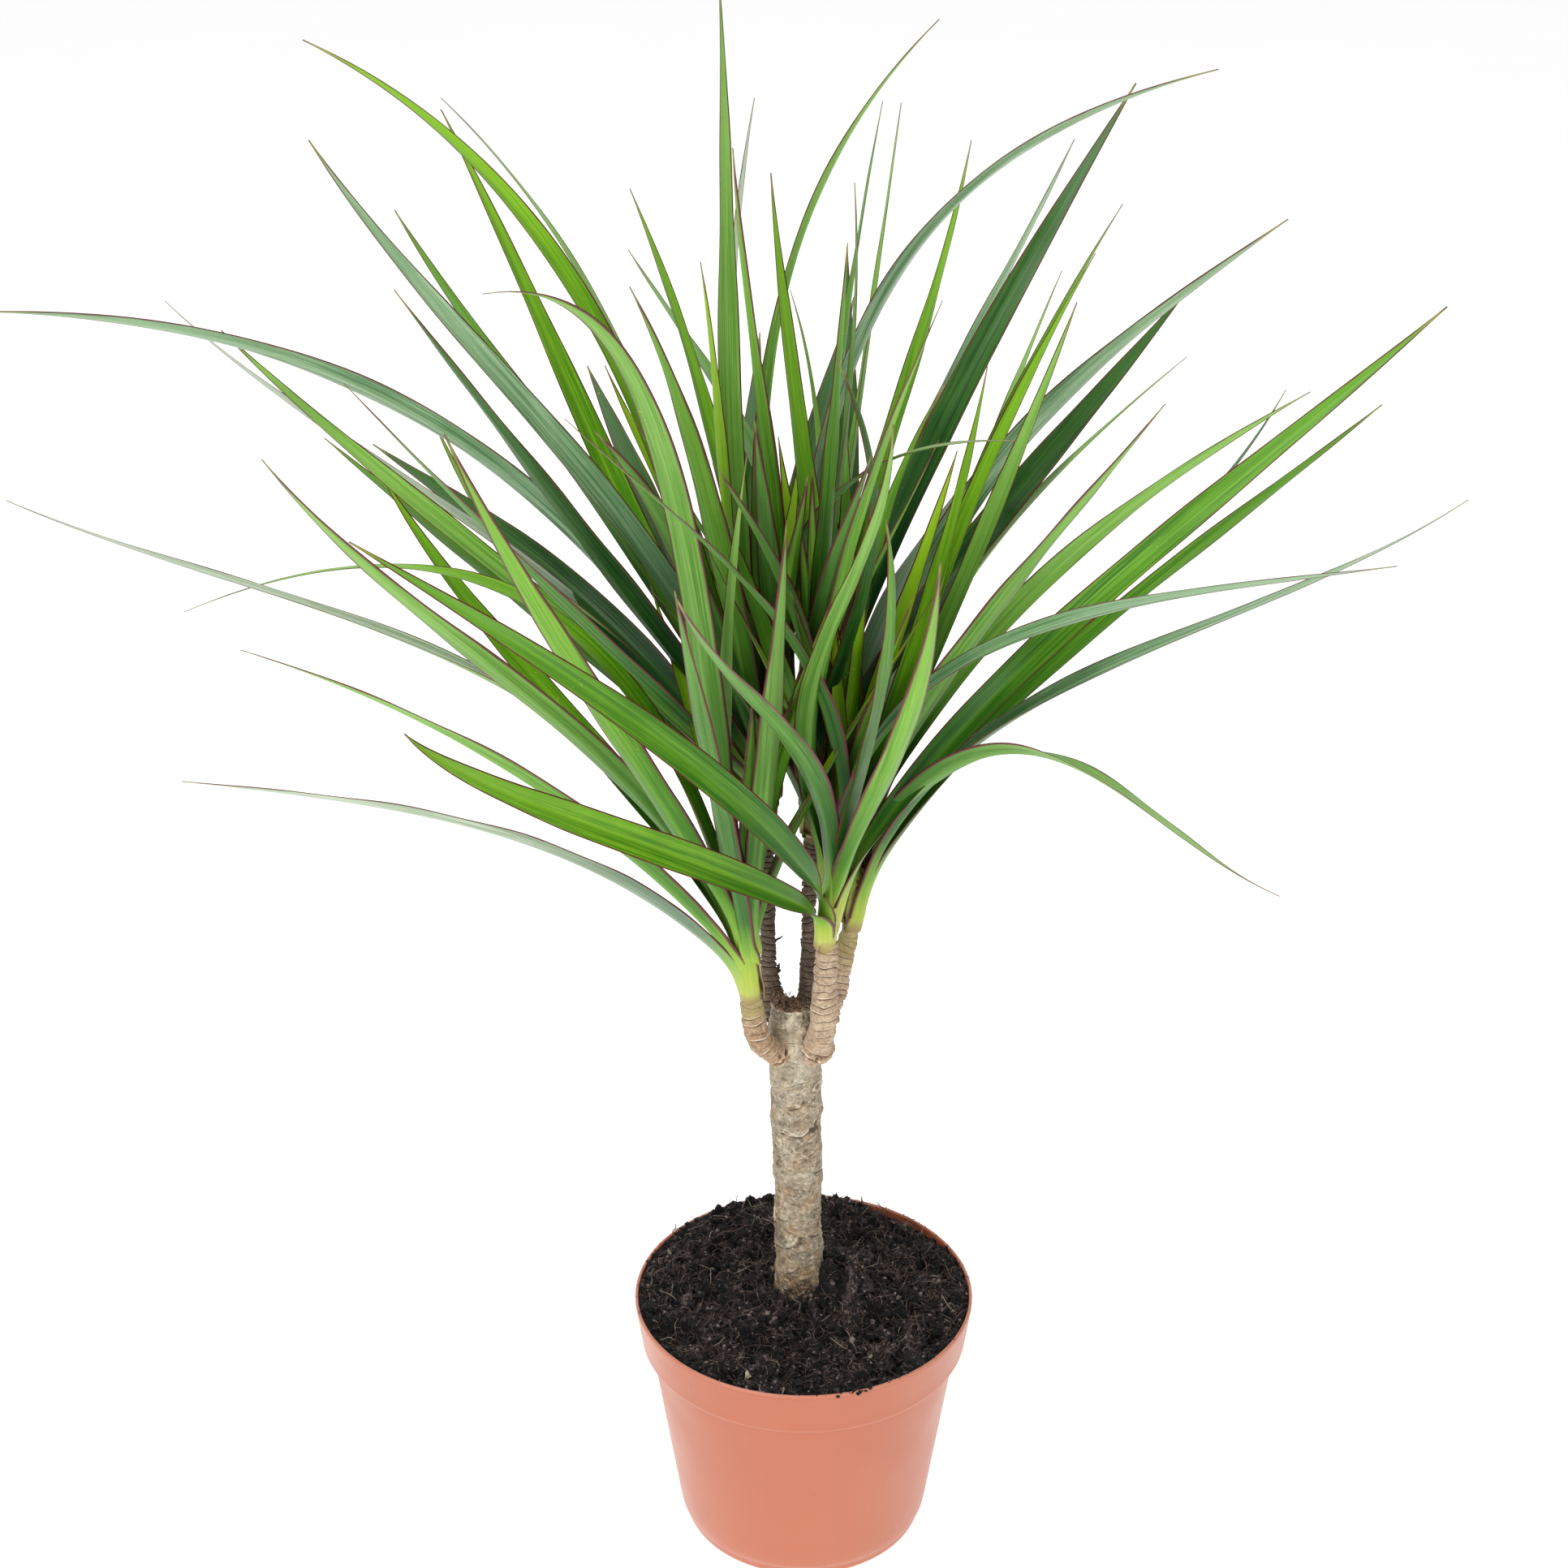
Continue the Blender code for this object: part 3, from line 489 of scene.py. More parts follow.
class Finish:
    """The nodes of one material, and its colour so far, to which each layer is added."""

    def __init__(self, name, roughness, colour=None):
        self.material = bpy.data.materials.new(name)
        self.material.use_nodes = True
        self.tree = self.material.node_tree
        self.shader = self.tree.nodes["Principled BSDF"]
        self.shader.inputs["Roughness"].default_value = roughness
        self.colour = colour

    def feed(self, socket, value):
        """Link a node's output to the socket, or set the socket to a number or a colour."""
        if isinstance(value, bpy.types.NodeSocket):
            self.tree.links.new(value, socket)
        elif socket.type == "RGBA":
            socket.default_value = (*value, 1)
        else:
            socket.default_value = value

    def node(self, kind, inputs, **settings):
        made = self.tree.nodes.new(kind)
        for key, value in settings.items():
            setattr(made, key, value)
        for key, value in inputs.items():
            self.feed(made.inputs[key], value)
        return made

    def spots(self, scale=(1, 1, 1), by="Object"):
        place = self.node("ShaderNodeTexCoord", {}).outputs[by]
        return self.node("ShaderNodeMapping", {"Vector": place, "Scale": scale}).outputs[0]

    def noise(self, where, scale, detail=3.0, rough=0.55, warp=0.0):
        inputs = {"Vector": where, "Scale": scale, "Detail": detail, "Roughness": rough,
                  "Distortion": warp}
        return self.node("ShaderNodeTexNoise", inputs).outputs["Fac"]

    def value(self, name):
        return self.node("ShaderNodeAttribute", {}, attribute_name=name).outputs["Fac"]

    def times(self, a, b):
        return self.node("ShaderNodeMath", {0: a, 1: b}, operation="MULTIPLY").outputs[0]

    def plus(self, a, b):
        return self.node("ShaderNodeMath", {0: a, 1: b}, operation="ADD").outputs[0]

    def band(self, value, low, high, start=0.0, end=1.0):
        """A soft step of the value from low to high."""
        inputs = {"Value": value, "From Min": low, "From Max": high, "To Min": start,
                  "To Max": end}
        return self.node("ShaderNodeMapRange", inputs,
                         interpolation_type="SMOOTHSTEP").outputs[0]

    def lay(self, colour, share):
        """A layer of the colour over what is there, as thick as the share."""
        inputs = {0: share, 6: self.colour, 7: colour}
        self.colour = self.node("ShaderNodeMix", inputs, data_type="RGBA").outputs[2]

    def lay_bands(self, *rows):
        """Layers, each growing from none at the value's low to the most at its high."""
        for colour, value, low, high, most in rows:
            self.lay(colour, self.band(value, low, high, 0.0, most))

    def stops(self, value, *stops):
        """The first layer: colours that follow the value between the given stops."""
        made = self.node("ShaderNodeValToRGB", {"Fac": value})
        made.color_ramp.interpolation = "EASE"
        points = made.color_ramp.elements
        while len(points) < len(stops):
            points.new(0.5)
        for point, (place, colour) in zip(points, stops):
            point.position = place
            point.color = (*colour, 1)
        self.colour = made.outputs[0]

    def bump(self, height, distance, strength):
        inputs = {"Height": height, "Distance": distance, "Strength": strength}
        bumped = self.node("ShaderNodeBump", inputs).outputs[0]
        self.tree.links.new(bumped, self.shader.inputs["Normal"])

    def done(self, roughness=None, **values):
        """The material, with its colour, its roughness if that varies, and the set values."""
        self.tree.links.new(self.colour, self.shader.inputs["Base Color"])
        if roughness:
            self.tree.links.new(roughness, self.shader.inputs["Roughness"])
        for name, value in values.items():
            self.shader.inputs[name.replace("_", " ")].default_value = value
        return self.material


def pot_plastic():
    """Satin terracotta plastic: faint mottling, a paler lip that is partly wear and partly a
    painted highlight, specks of soil and rubbed patches.
    """
    made = Finish("terracotta plastic", 0.36)
    where = made.spots()
    made.stops(made.noise(where, 9.0, 2.0), (0.3, (0.515, 0.132, 0.054)),
               (0.7, (0.555, 0.154, 0.066)))
    height = made.node("ShaderNodeSeparateXYZ", {"Vector": where}).outputs[2]
    # The paler lip: partly wear, partly a painted highlight on the rounded edge
    made.lay_bands(((0.66, 0.27, 0.18), height, 0.1312, 0.1328, 0.55))
    dust = made.times(made.band(made.noise(where, 900.0, 1.0), 0.66, 0.72),
                      made.band(made.noise(where, 24.0, 2.0), 0.52, 0.7))
    made.lay((0.05, 0.03, 0.022), made.times(dust, made.band(height, 0.105, 0.133, 0.12, 0.9)))
    rub = made.times(made.band(made.noise(where, 46.0, 6.0, 0.7, 1.2), 0.56, 0.66, 0.0, 0.18),
                     made.band(made.noise(where, 12.0, 1.0), 0.58, 0.72))
    made.lay((0.68, 0.38, 0.28), rub)
    grain = made.noise(made.spots((1, 1, 0.35)), 420.0, 2.0)
    made.bump(made.plus(grain, made.times(made.noise(where, 26.0, 1.0), 3.0)), 0.00006, 0.6)
    return made.done(made.band(made.noise(where, 30.0, 3.0), 0.25, 0.75, 0.30, 0.44),
                     Specular_IOR_Level=0.55, Coat_Weight=0.35, Coat_Roughness=0.3)


def peat():
    """Moist peat by the tone value and a fine mottle: near black in the hollows as painted shade,
    brown-grey on what stands up as painted highlight, with a little glint."""
    made = Finish("peat soil", 0.8)
    where = made.spots()
    fine = made.noise(where, 620.0, 6.0, 0.85)
    height = made.plus(made.times(fine, 1.1), made.times(made.value("tone"), 0.55))
    patch = made.band(made.noise(where, 38.0, 3.0), 0.38, 0.66, -0.05, 0.05)
    made.stops(made.plus(height, patch), (0.64, (0.0006, 0.0005, 0.0005)),
               (0.76, (0.0065, 0.0046, 0.0048)), (0.90, (0.055, 0.040, 0.040)),
               (1.0, (0.340, 0.260, 0.235)))
    made.bump(fine, 0.0009, 1.0)
    return made.done(made.band(made.noise(where, 1500.0, 1.0), 0.3, 0.7, 0.35, 0.9),
                     Specular_IOR_Level=0.45)


def fibre_look():
    """Root and peat fibres: dark brown to tan, by each fibre's own tone."""
    made = Finish("soil fibres", 0.7)
    made.stops(made.value("tone"), (0.0, (0.030, 0.018, 0.017)), (0.45, (0.095, 0.058, 0.052)),
               (0.85, (0.230, 0.150, 0.122)), (1.0, (0.55, 0.44, 0.32)))
    shade = made.noise(made.spots(), 500.0, 2.0)
    made.lay((0.03, 0.018, 0.013), made.times(shade, 0.5))
    return made.done()


def flake_look():
    """Dry leaf chips and pale grains in the soil."""
    made = Finish("dry flakes", 0.8)
    mottle = made.noise(made.spots(), 600.0, 3.0)
    made.stops(mottle, (0.3, (0.24, 0.17, 0.09)), (0.7, (0.60, 0.55, 0.40)))
    return made.done()


def bark(name, base, warm, pale, dark, olive, fleck, dash):
    """Bark by layers: base and warm tan in bands and where the warm value is up, a cloud and a
    fine mottle, both weaker where the dashes are weak, slanting pale fibre dashes, painted
    shade in the cracks and painted highlight on the ridges, which the relief value finds, an
    olive tinge where the tinge value is up, and dark soil colour, partly painted shade, where
    the soil-and-shade value is up. Fleck is the size of the mottle over 1 mm, and dash the
    strength of the dashes."""
    made = Finish(name, 0.82, base)
    where = made.spots()
    bands = made.noise(made.spots((1, 1, 2.2)), 46.0, 4.0, 0.62, 0.8)
    bands = made.band(bands, 0.42, 0.66, 0.0, 0.6)
    made.lay(warm, made.node("ShaderNodeMath", {0: bands, 1: made.value("warm")},
                             operation="MAXIMUM").outputs[0])
    cloud = made.noise(where, 130.0 / fleck, 7.0, 0.78, 0.9)
    mottle = made.noise(where, 520.0 / fleck, 4.0, 0.8)
    slanting = made.node("ShaderNodeMapping", {
        "Vector": where, "Rotation": (0.0, 0.42, 0.0), "Scale": (0.16, 0.16, 1.0)}).outputs[0]
    dashes = made.noise(slanting, 1300.0 / fleck, 3.0, 0.6, 0.6)
    relief = made.value("relief")
    stain = tuple(0.35 * b + 0.45 * d for b, d in zip(base, dark))
    much = 0.45 + 0.55 * dash
    # The last two layers are painted shade dark in the cracks and a painted highlight pale on the
    # ridges, read from the relief value
    made.lay_bands((stain, cloud, 0.52, 0.39, 0.85 * much), (pale, cloud, 0.54, 0.65, 0.7 * much),
                   (pale, mottle, 0.53, 0.65, 0.55 * much), (dark, mottle, 0.46, 0.35, 0.68 * much),
                   (pale, dashes, 0.60, 0.70, 0.7 * dash), (dark, dashes, 0.38, 0.29, 0.45 * dash),
                   (dark, relief, 0.40, 0.08, 0.85), (pale, relief, 0.62, 0.92, 0.75))
    made.lay(olive, made.times(made.value("tinge"), 0.72))
    # Near-black soil colour, partly painted shade, where that value is up
    made.lay((0.020, 0.013, 0.011), made.times(made.value("soiled"),
                                               made.band(mottle, 0.42, 0.56, 1.0, 0.5)))
    made.bump(made.plus(mottle, dashes), 0.0005 * much, 0.6)
    return made.done(Specular_IOR_Level=0.25)


def crumbly_wood():
    """The rotted top of the cut trunk: dark brown crumbs and fibres."""
    made = Finish("crumbly cut wood", 0.92)
    fine = made.noise(made.spots(), 620.0, 5.0, 0.75)
    made.stops(fine, (0.38, (0.060, 0.034, 0.026)), (0.50, (0.300, 0.180, 0.130)),
               (0.64, (0.78, 0.58, 0.44)))
    made.bump(fine, 0.0009, 0.9)
    return made.done()


# A bark's name and linear colours, which are base, warm, pale, dark and olive, then the size of
# its mottle over 1 mm and the strength of its dashes
BARKS = (("trunk bark", (0.42, 0.355, 0.260), (0.38, 0.240, 0.120), (0.80, 0.71, 0.55),
          (0.075, 0.052, 0.036), (0.60, 0.56, 0.42), 1.0, 1.0),
         ("stem bark", (0.60, 0.445, 0.310), (0.42, 0.260, 0.145), (0.90, 0.79, 0.63),
          (0.130, 0.078, 0.050), (0.42, 0.36, 0.13), 0.7, 0.4),
         # Painted shade: a darker copy of the stem bark for the back stems, which stand in the
         # crown's shade
         ("stem bark with painted shade", (0.155, 0.112, 0.088), (0.18, 0.115, 0.080), (0.34, 0.27, 0.21),
          (0.034, 0.024, 0.020), (0.42, 0.36, 0.13), 0.7, 0.5))

# A leaf side's name, dark and light linear colours, roughness and gloss
LEAF_TOPS = {
    "b": ("bright leaf top", (0.060, 0.230, 0.002), (0.230, 0.490, 0.016), 0.36, 0.20),
    "m": ("mid leaf top", (0.030, 0.145, 0.006), (0.150, 0.375, 0.024), 0.34, 0.20),
    # d: a deep green that is partly the leaf's own colour and partly painted shade for leaves
    # inside the crown
    "d": ("deep leaf top with some painted shade", (0.007, 0.048, 0.006), (0.048, 0.155, 0.020), 0.30, 0.22),
    # g and p: their light colours are a painted whitish sheen, a reflection at grazing angles, on
    # top of real gloss
    "g": ("glossy leaf top with painted sheen", (0.034, 0.150, 0.036), (0.330, 0.500, 0.280), 0.24, 0.50),
    "p": ("pale leaf top with painted sheen", (0.160, 0.260, 0.120), (0.500, 0.590, 0.430), 0.26, 0.50),
    "s": ("soft leaf top", (0.100, 0.285, 0.018), (0.280, 0.530, 0.100), 0.42, 0.20),
    "y": ("yellow-green leaf top", (0.150, 0.390, 0.002), (0.330, 0.560, 0.010), 0.36, 0.22),
}
LEAF_UNDERS = {
    "b": ("bright leaf underside", (0.085, 0.260, 0.012), (0.240, 0.490, 0.058), 0.46, 0.18),
    "d": ("deep leaf underside", (0.042, 0.150, 0.018), (0.155, 0.350, 0.065), 0.42, 0.18),
    "s": ("soft leaf underside", (0.110, 0.290, 0.028), (0.290, 0.530, 0.125), 0.46, 0.18),
}
UNDER_OF = {"b": "b", "m": "d", "d": "d", "g": "d", "p": "s", "s": "s", "y": "b"}
TONES = tuple(LEAF_TOPS)
UNDERS = tuple(LEAF_UNDERS)
LEAF_LIGHT = (0.260, 0.490, 0.060)
LEAF_BASE = (0.470, 0.560, 0.085)
LEAF_PALE = (0.600, 0.600, 0.180)
LEAF_SCAR = (0.400, 0.310, 0.130)
LEAF_TIP = (0.330, 0.340, 0.090)
LEAF_DRY = (0.16, 0.10, 0.05)
MARGIN_TOP = (0.145, 0.026, 0.024)
MARGIN_UNDER = (0.180, 0.060, 0.062)


def leaf_side(name, dark, light, roughness, gloss, margin, clear, inner):
    """A leaf's surface. Long streaks and wider bands lie along it in the leaf's own map. Towards
    the crown's middle it darkens, partly its own deeper green and partly painted shade, and it
    pales to the tip. A pale line follows the midrib, yellow flecks gather in patches, and a
    purple margin is full out from the clear distance and gone at the inner one, in mm from the
    edge. The foot pales, its lower edge turns to bark by the mm above it, and the tip yellows
    and dries."""
    made = Finish(name, roughness, dark)
    strands = made.noise(made.spots((1, 0.012, 1), "UV"), 24.0, 3.0, 0.70)
    broad = made.noise(made.spots((1, 0.010, 1), "UV"), 7.0, 1.0)
    where = made.spots()
    cloud = made.noise(where, 26.0, 3.0)
    along = made.value("along")
    beside = made.node("ShaderNodeMath", {0: made.value("side")}, operation="ABSOLUTE").outputs[0]
    # shaded is painted shade, partly the leaf's own deeper green, laid towards the crown's middle
    # by the along value; the paler colour is laid towards the tip
    shaded = (0.60 * dark[0], 0.70 * dark[1], 0.9 * dark[2] + 0.010)
    paler_outward = tuple(1.15 * c + 0.03 for c in light)
    made.lay_bands((light, strands, 0.41, 0.63, 1.0), (light, broad, 0.44, 0.66, 0.55),
                   (dark, broad, 0.46, 0.30, 0.5), (dark, cloud, 0.60, 0.30, 0.4),
                   (shaded, along, 0.54, 0.18, 0.68), (paler_outward, along, 0.44, 0.92, 0.42),
                   (light, beside, 2.0, 0.2, 0.40))
    made.lay((0.50, 0.62, 0.10), made.times(made.band(made.noise(where, 700.0, 1.0), 0.70, 0.76),
                                            made.band(made.noise(where, 19.0, 1.0), 0.60, 0.70)))
    veins = made.band(strands, 0.40, 0.62, 0.75, 1.0)
    for colour, low, high, most in ((LEAF_LIGHT, 0.14, 0.03, 0.95), (LEAF_BASE, 0.055, -0.005, 1.0),
                                    (LEAF_PALE, 0.005, -0.035, 0.75)):
        made.lay(colour, made.times(made.band(along, low, high, 0.0, most), veins))
    uneven = made.times(made.noise(where, 55.0, 2.0), 0.6)
    rim = made.band(made.plus(made.value("rim"), uneven), clear + 0.3, inner + 0.3, 1.0, 0.0)
    made.lay(margin, made.times(rim, made.band(along, -0.028, -0.002)))
    ragged = made.plus(made.value("above"), made.times(made.noise(where, 420.0, 3.0, 0.6), -3.6))
    edge = made.plus(along, made.times(made.noise(where, 60.0, 2.0), 0.03))
    made.lay_bands((LEAF_SCAR, ragged, 4.5, -0.8, 1.0), (LEAF_TIP, edge, 0.965, 1.005, 0.75),
                   (LEAF_DRY, edge, 1.000, 1.016, 0.8))
    made.bump(strands, 0.00018, 0.5)
    return made.done(made.band(cloud, 0.3, 0.7, roughness - 0.04, roughness + 0.08),
                     Specular_IOR_Level=gloss)


def plain_floor():
    made = Finish("studio floor", 0.9)
    made.stops(made.noise(made.spots(), 3.0, 2.0), (0.3, (0.54, 0.54, 0.54)),
               (0.7, (0.56, 0.56, 0.56)))
    return made.done(Emission_Color=(1.0, 1.0, 1.0, 1), Emission_Strength=0.80,
                     Specular_IOR_Level=0.0)


# Pot

def arc(centre, radius, start, end, count):
    angles = np.radians(np.linspace(start, end, count))
    return [(centre[0] + radius * math.cos(a), centre[1] + radius * math.sin(a)) for a in angles]


def pot_profile():
    """(radius, height) in mm from the middle of the inside floor, up the wall, over the lip and
    down the outside to the middle of the underside."""
    inside = [(0.0, 2.4), (30, 2.4), (55, 2.4), (58.5, 4.5), (60.5, 12), (75.9, 105.4),
              (79.6, 108.4), (80.5, 111), (83.4, 132.0)]
    lip = arc((84.2, 132.2), 0.8, 180, 0, 7)
    band = [(84.95, 130.6), (84.75, 129.6), (83.2, 118), (82.1, 111)]
    shoulder = arc((78.9, 110.4), 3.2, 0, -78, 9)
    neck = [(78.6, 106.9), (77.7, 106.5), (77.35, 105.7), (77.2, 104)]
    body = [(74.6, 86), (71.4, 64), (68.2, 42), (65.6, 24), (64.3, 15)]
    foot = [(63.3, 9.2), (62.6, 7.4), (62.2, 7.0), (61.4, 5.2)] + arc((57.2, 4.0), 4.0, -5, -90, 8)
    under = [(50, 0), (30, 0), (14, 0), (0, 0)]
    return np.array(inside + lip + band + shoulder + neck + body + foot + under) * MM


def dense_profile(profile, step):
    """The profile with long spans cut into steps, so bumps and lights run smoothly."""
    pieces = [profile[:1]]
    for a, b in zip(profile[:-1], profile[1:]):
        count = max(1, round(float(np.linalg.norm(b - a)) / step))
        t = (np.arange(1, count + 1) / count)[:, None]
        pieces.append(a + (b - a) * t)
    return np.concatenate(pieces)


def turned(profile, columns):
    """The profile carried round the upright axis, between its own two poles."""
    return closed_rings(rings_of(profile[1:-1], columns), (0, 0, profile[0, 1]),
                        (0, 0, profile[-1, 1]))


def make_pot():
    """The turned pot, with its drain holes drilled out and the drills taken away."""
    shell = Shell()
    shell.add(*turned(dense_profile(pot_profile(), POT_STEP), POT_COLUMNS))
    pot = shell.build("plant_pot", [pot_plastic()])
    side = np.array([(0, 0.006), (DRAIN_RADIUS, 0.006), (DRAIN_RADIUS, -0.004), (0, -0.004)])
    drills = []
    for i in range(DRAINS):
        angle = math.tau * (i + 0.5) / DRAINS
        spots, faces = turned(side, DRILL_COLUMNS)
        drill = Shell()
        drill.add(spots + polar(DRAIN_RING, angle, 0), faces)
        drills.append(drill.build(f"drain_drill_{i}", [pot.data.materials[0]]))
        hole = pot.modifiers.new("drain", "BOOLEAN")
        hole.operation = "DIFFERENCE"
        hole.solver = "EXACT"
        hole.object = drills[-1]
    bpy.context.view_layer.update()
    shown = pot.evaluated_get(bpy.context.evaluated_depsgraph_get())
    cut = bpy.data.meshes.new_from_object(shown)
    pot.modifiers.clear()
    pot.data = cut
    for drill in drills:
        bpy.data.objects.remove(drill, do_unlink=True)
    return pot


# Soil

def soil_parts(x, y):
    """The soil's level in two parts. The first is the level, a heap at the trunk with a bank on
    its right, a rise to the back and wide lumps, and it runs over to an edge a little under the
    lip, with a dip at the back right. The second is clods of the shape 0.4 - |noise| at three
    sizes, with hollows pushed in where another noise is high."""
    radius = np.hypot(x, y)
    spots = np.stack([x, y, np.zeros_like(x)], -1)
    broad = SOIL_LEVEL + SOIL_BACK_RISE * y / RIM_RADIUS
    broad = broad + SOIL_HEAP * np.maximum(0, 1 - radius / SOIL_HEAP_RADIUS)
    broad += SOIL_LUMPS * layers_mm(spots, 19, 2, 5)
    off = [place / MM - middle for place, middle in zip((x, y), BANK_MIDDLE)]
    aside, behind = (gap / np.where(gap < 0, *reach) for gap, reach in zip(off, BANK_REACH))
    broad += SOIL_BANK * np.exp(-aside ** 2 - behind ** 2)
    clods = np.zeros_like(x)
    for size, tall, seed in CLODS:
        clods += tall * MM * (0.40 - np.abs(layers_mm(spots, size, 2, seed)))
    clods -= HOLLOWS * ramp(2.6 * noise_mm(spots, 9, 19) - 0.7)
    edge = ramp((radius - EDGE_START) / EDGE_WIDTH)
    rim = SOIL_LEVEL - 0.6 * MM + EDGE_BACK_RISE * ramp(y / RIM_RADIUS)
    rim -= EDGE_DIP * hump(np.degrees(np.arctan2(y, x)), EDGE_DIP_BEARING, EDGE_DIP_WIDTH)
    return broad * (1 - edge) + rim * edge, clods * (1 - 0.82 * edge)


def on_soil(x, y, lift):
    return np.stack([x, y, sum(soil_parts(x, y)) + lift], -1)


def make_soil():
    """The soil's closed surface, up the pot's wall and in over the top. A spot's tone follows
    how high it lies on its clod, which paints shade into the hollows and light onto the tops."""
    side = rings_of(np.array(SOIL_SIDE) * MM, SOIL_COLUMNS)
    angle = round_the(SOIL_COLUMNS)
    radius = SOIL_EDGE * np.linspace(1, 0.02, SOIL_RINGS)[:, None] ** 0.85
    x, y = radius * np.cos(angle), radius * np.sin(angle)
    broad, clods = soil_parts(x, y)
    rows = np.concatenate([side, np.stack([x, y, broad + clods], -1)])
    # Tone by clod height: painted shade in the hollows, painted highlight on the tops
    tone = np.clip(0.28 + clods / (9 * MM), 0, 1).ravel()
    shell = Shell("tone")
    shell.add(*closed_rings(rows, (0, 0, SOIL_SIDE[0][1] * MM), on_soil(*np.zeros((3, 1)))[0]),
              tone=np.concatenate([np.zeros(side.size // 3), tone, [0.0, 0.5]]))
    return shell.build("potting_soil", [peat()])


def scattered(rng, number, inner, outer):
    """Spots spread evenly over a ring: radius by the square root, angle at random."""
    radius = np.sqrt(rng.uniform(inner ** 2, outer ** 2, number))
    angle = rng.uniform(0, math.tau, number)
    return radius * np.cos(angle), radius * np.sin(angle)


def mostly_small(rng, number, least, spread, power):
    """Sizes with few large ones: least + spread * r^power in mm, for r from 0 to 1."""
    return MM * (least + spread * rng.random(number) ** power)


def make_crumbs(rng):
    """Clods with crumbs stuck to them, loose crumbs, more round the trunk, clumps at the back
    edge, a spill over the front lip, and specks on the lip. A crumb's tone is partly random and
    partly follows how high it lies on the clods, as painted shade low and painted highlight
    high."""
    bits = Shell("tone")

    def strew(x, y, size, lift, fine, seed):
        small = np.clip(0.8 * MM / size, 0.2, 1)
        # Tone partly by clod height, as painted shade and highlight, and partly random
        tones = 0.06 + soil_parts(x, y)[1] / (10 * MM)
        tones = np.clip(tones + (0.1 + 0.9 * small) * rng.random(len(x)) ** 1.7, 0, 1)
        lumps(bits, on_soil(x, y, lift), size, rng.uniform(0.55, 1.0, len(x)), tones, fine, seed)

    number, stuck = LARGE_CRUMBS, STUCK_CRUMBS
    x, y = scattered(rng, number, 14 * MM, 80 * MM)
    size = mostly_small(rng, number, 0.9, 2.4, 2.2)
    strew(x, y, size, 0.2 * size, True, 3)
    way = unit(rng.normal(size=(number, stuck, 3)))
    way[..., 2] = np.abs(way[..., 2]) * 0.8
    around = on_soil(x, y, 0.2 * size)[:, None] + way * size[:, None, None] * 0.85
    lumps(bits, around.reshape(-1, 3),
          np.repeat(size, stuck) * rng.uniform(0.2, 0.45, number * stuck), 0.9,
          0.35 + 0.6 * rng.random(number * stuck) ** 2, False, 5)
    x, y = scattered(rng, SMALL_CRUMBS, TRUNK_CLEAR, 83.2 * MM)
    size = mostly_small(rng, SMALL_CRUMBS, 0.32, 1.7, 2.4)
    strew(x, y, size, 0.4 * size, False, 7)
    x, y = scattered(rng, TRUNK_CRUMBS, 12.2 * MM, 17.5 * MM)
    size = MM * rng.uniform(0.5, 1.6, TRUNK_CRUMBS)
    strew(x, y, size, rng.uniform(0.0, 1.2, TRUNK_CRUMBS) * MM, False, 8)
    for x, y, wide, tall, count in BACK_CLUMPS:
        offset = rng.normal(0, 0.42, (count, 2)) * wide * MM
        px, py = x * MM + offset[:, 0], y * MM + 0.5 * offset[:, 1]
        out = np.maximum(1, np.hypot(px, py) / LOOSE_RADIUS)
        px, py = px / out, py / out
        near = hump(offset[:, 0], 0, 0.6 * wide * MM)
        lumps(bits, on_soil(px, py, rng.uniform(0, tall, count) * near * MM),
              MM * rng.uniform(0.5, 1.35, count), rng.uniform(0.7, 1.1, count),
              0.15 + 0.4 * rng.random(count), False, 9)

    def both(spill, specks):
        return np.concatenate([rng.uniform(*spill, LIP_BITS), rng.uniform(*specks, LIP_SPECKS)])

    angle = np.radians(np.concatenate([rng.normal(287, 2.6, LIP_BITS),
                                       rng.uniform(0, 360, LIP_SPECKS)]))
    radius = both((0.0815, 0.0856), (0.0834, 0.0849))
    height = POT_HEIGHT + both((-0.8, 0.9), (-0.1, 0.25)) * MM
    size = MM * both((0.5, 1.3), (0.16, 0.42))
    lumps(bits, polar(radius, angle, height), size, 0.85, 0.5 * rng.random(len(size)), False, 11)
    return bits.build("soil_crumbs", [peat()], smooth=False)


def make_fibres(rng):
    """Fine curled fibres over the whole soil, a few long roots, and twigs at the back edge."""
    hairs = Shell("tone")
    number = FIBRES
    x, y = scattered(rng, number, TRUNK_CLEAR, 82.5 * MM)
    turn = rng.uniform(0, math.tau, number)
    heading = polar(1, turn, rng.uniform(-0.1, 0.4, number))
    length = mostly_small(rng, number, 2.5, 11, 2.2)
    start = on_soil(x, y, rng.uniform(0.5, 2.1, number) * MM)
    half = heading * (length / 2)[:, None]
    begin, end = start - half * np.array([1, 1, 0]), start + half
    reach = np.stack([np.hypot(spot[:, 0], spot[:, 1]) for spot in (begin, end)])
    keep = np.all((reach < LOOSE_RADIUS) & (reach > 12 * MM), axis=0)
    tones = rng.random(number) ** 1.1
    thin_tubes(hairs, begin[keep], unit(heading)[keep], length[keep],
               mostly_small(rng, number, 0.13, 0.18, 2)[keep], 1.35, tones[keep], 5, 3, 51)
    x, y, turn, length, thick = np.array(ROOTS).T
    thin_tubes(hairs, on_soil(MM * x, MM * y, 1.6 * MM), polar(1, np.radians(turn), 0.03),
               MM * length, MM * thick, 0.5, 0.6, 12, 5, 57)
    x, y, way, length, thick = (np.array(column) for column in zip(*TWIGS))
    thin_tubes(hairs, on_soil(MM * x, MM * y, 0.2 * MM), unit(way), MM * length, MM * thick,
               0.7, 0.12, 8, 5, 59)
    return hairs.build("soil_fibres", [fibre_look()])


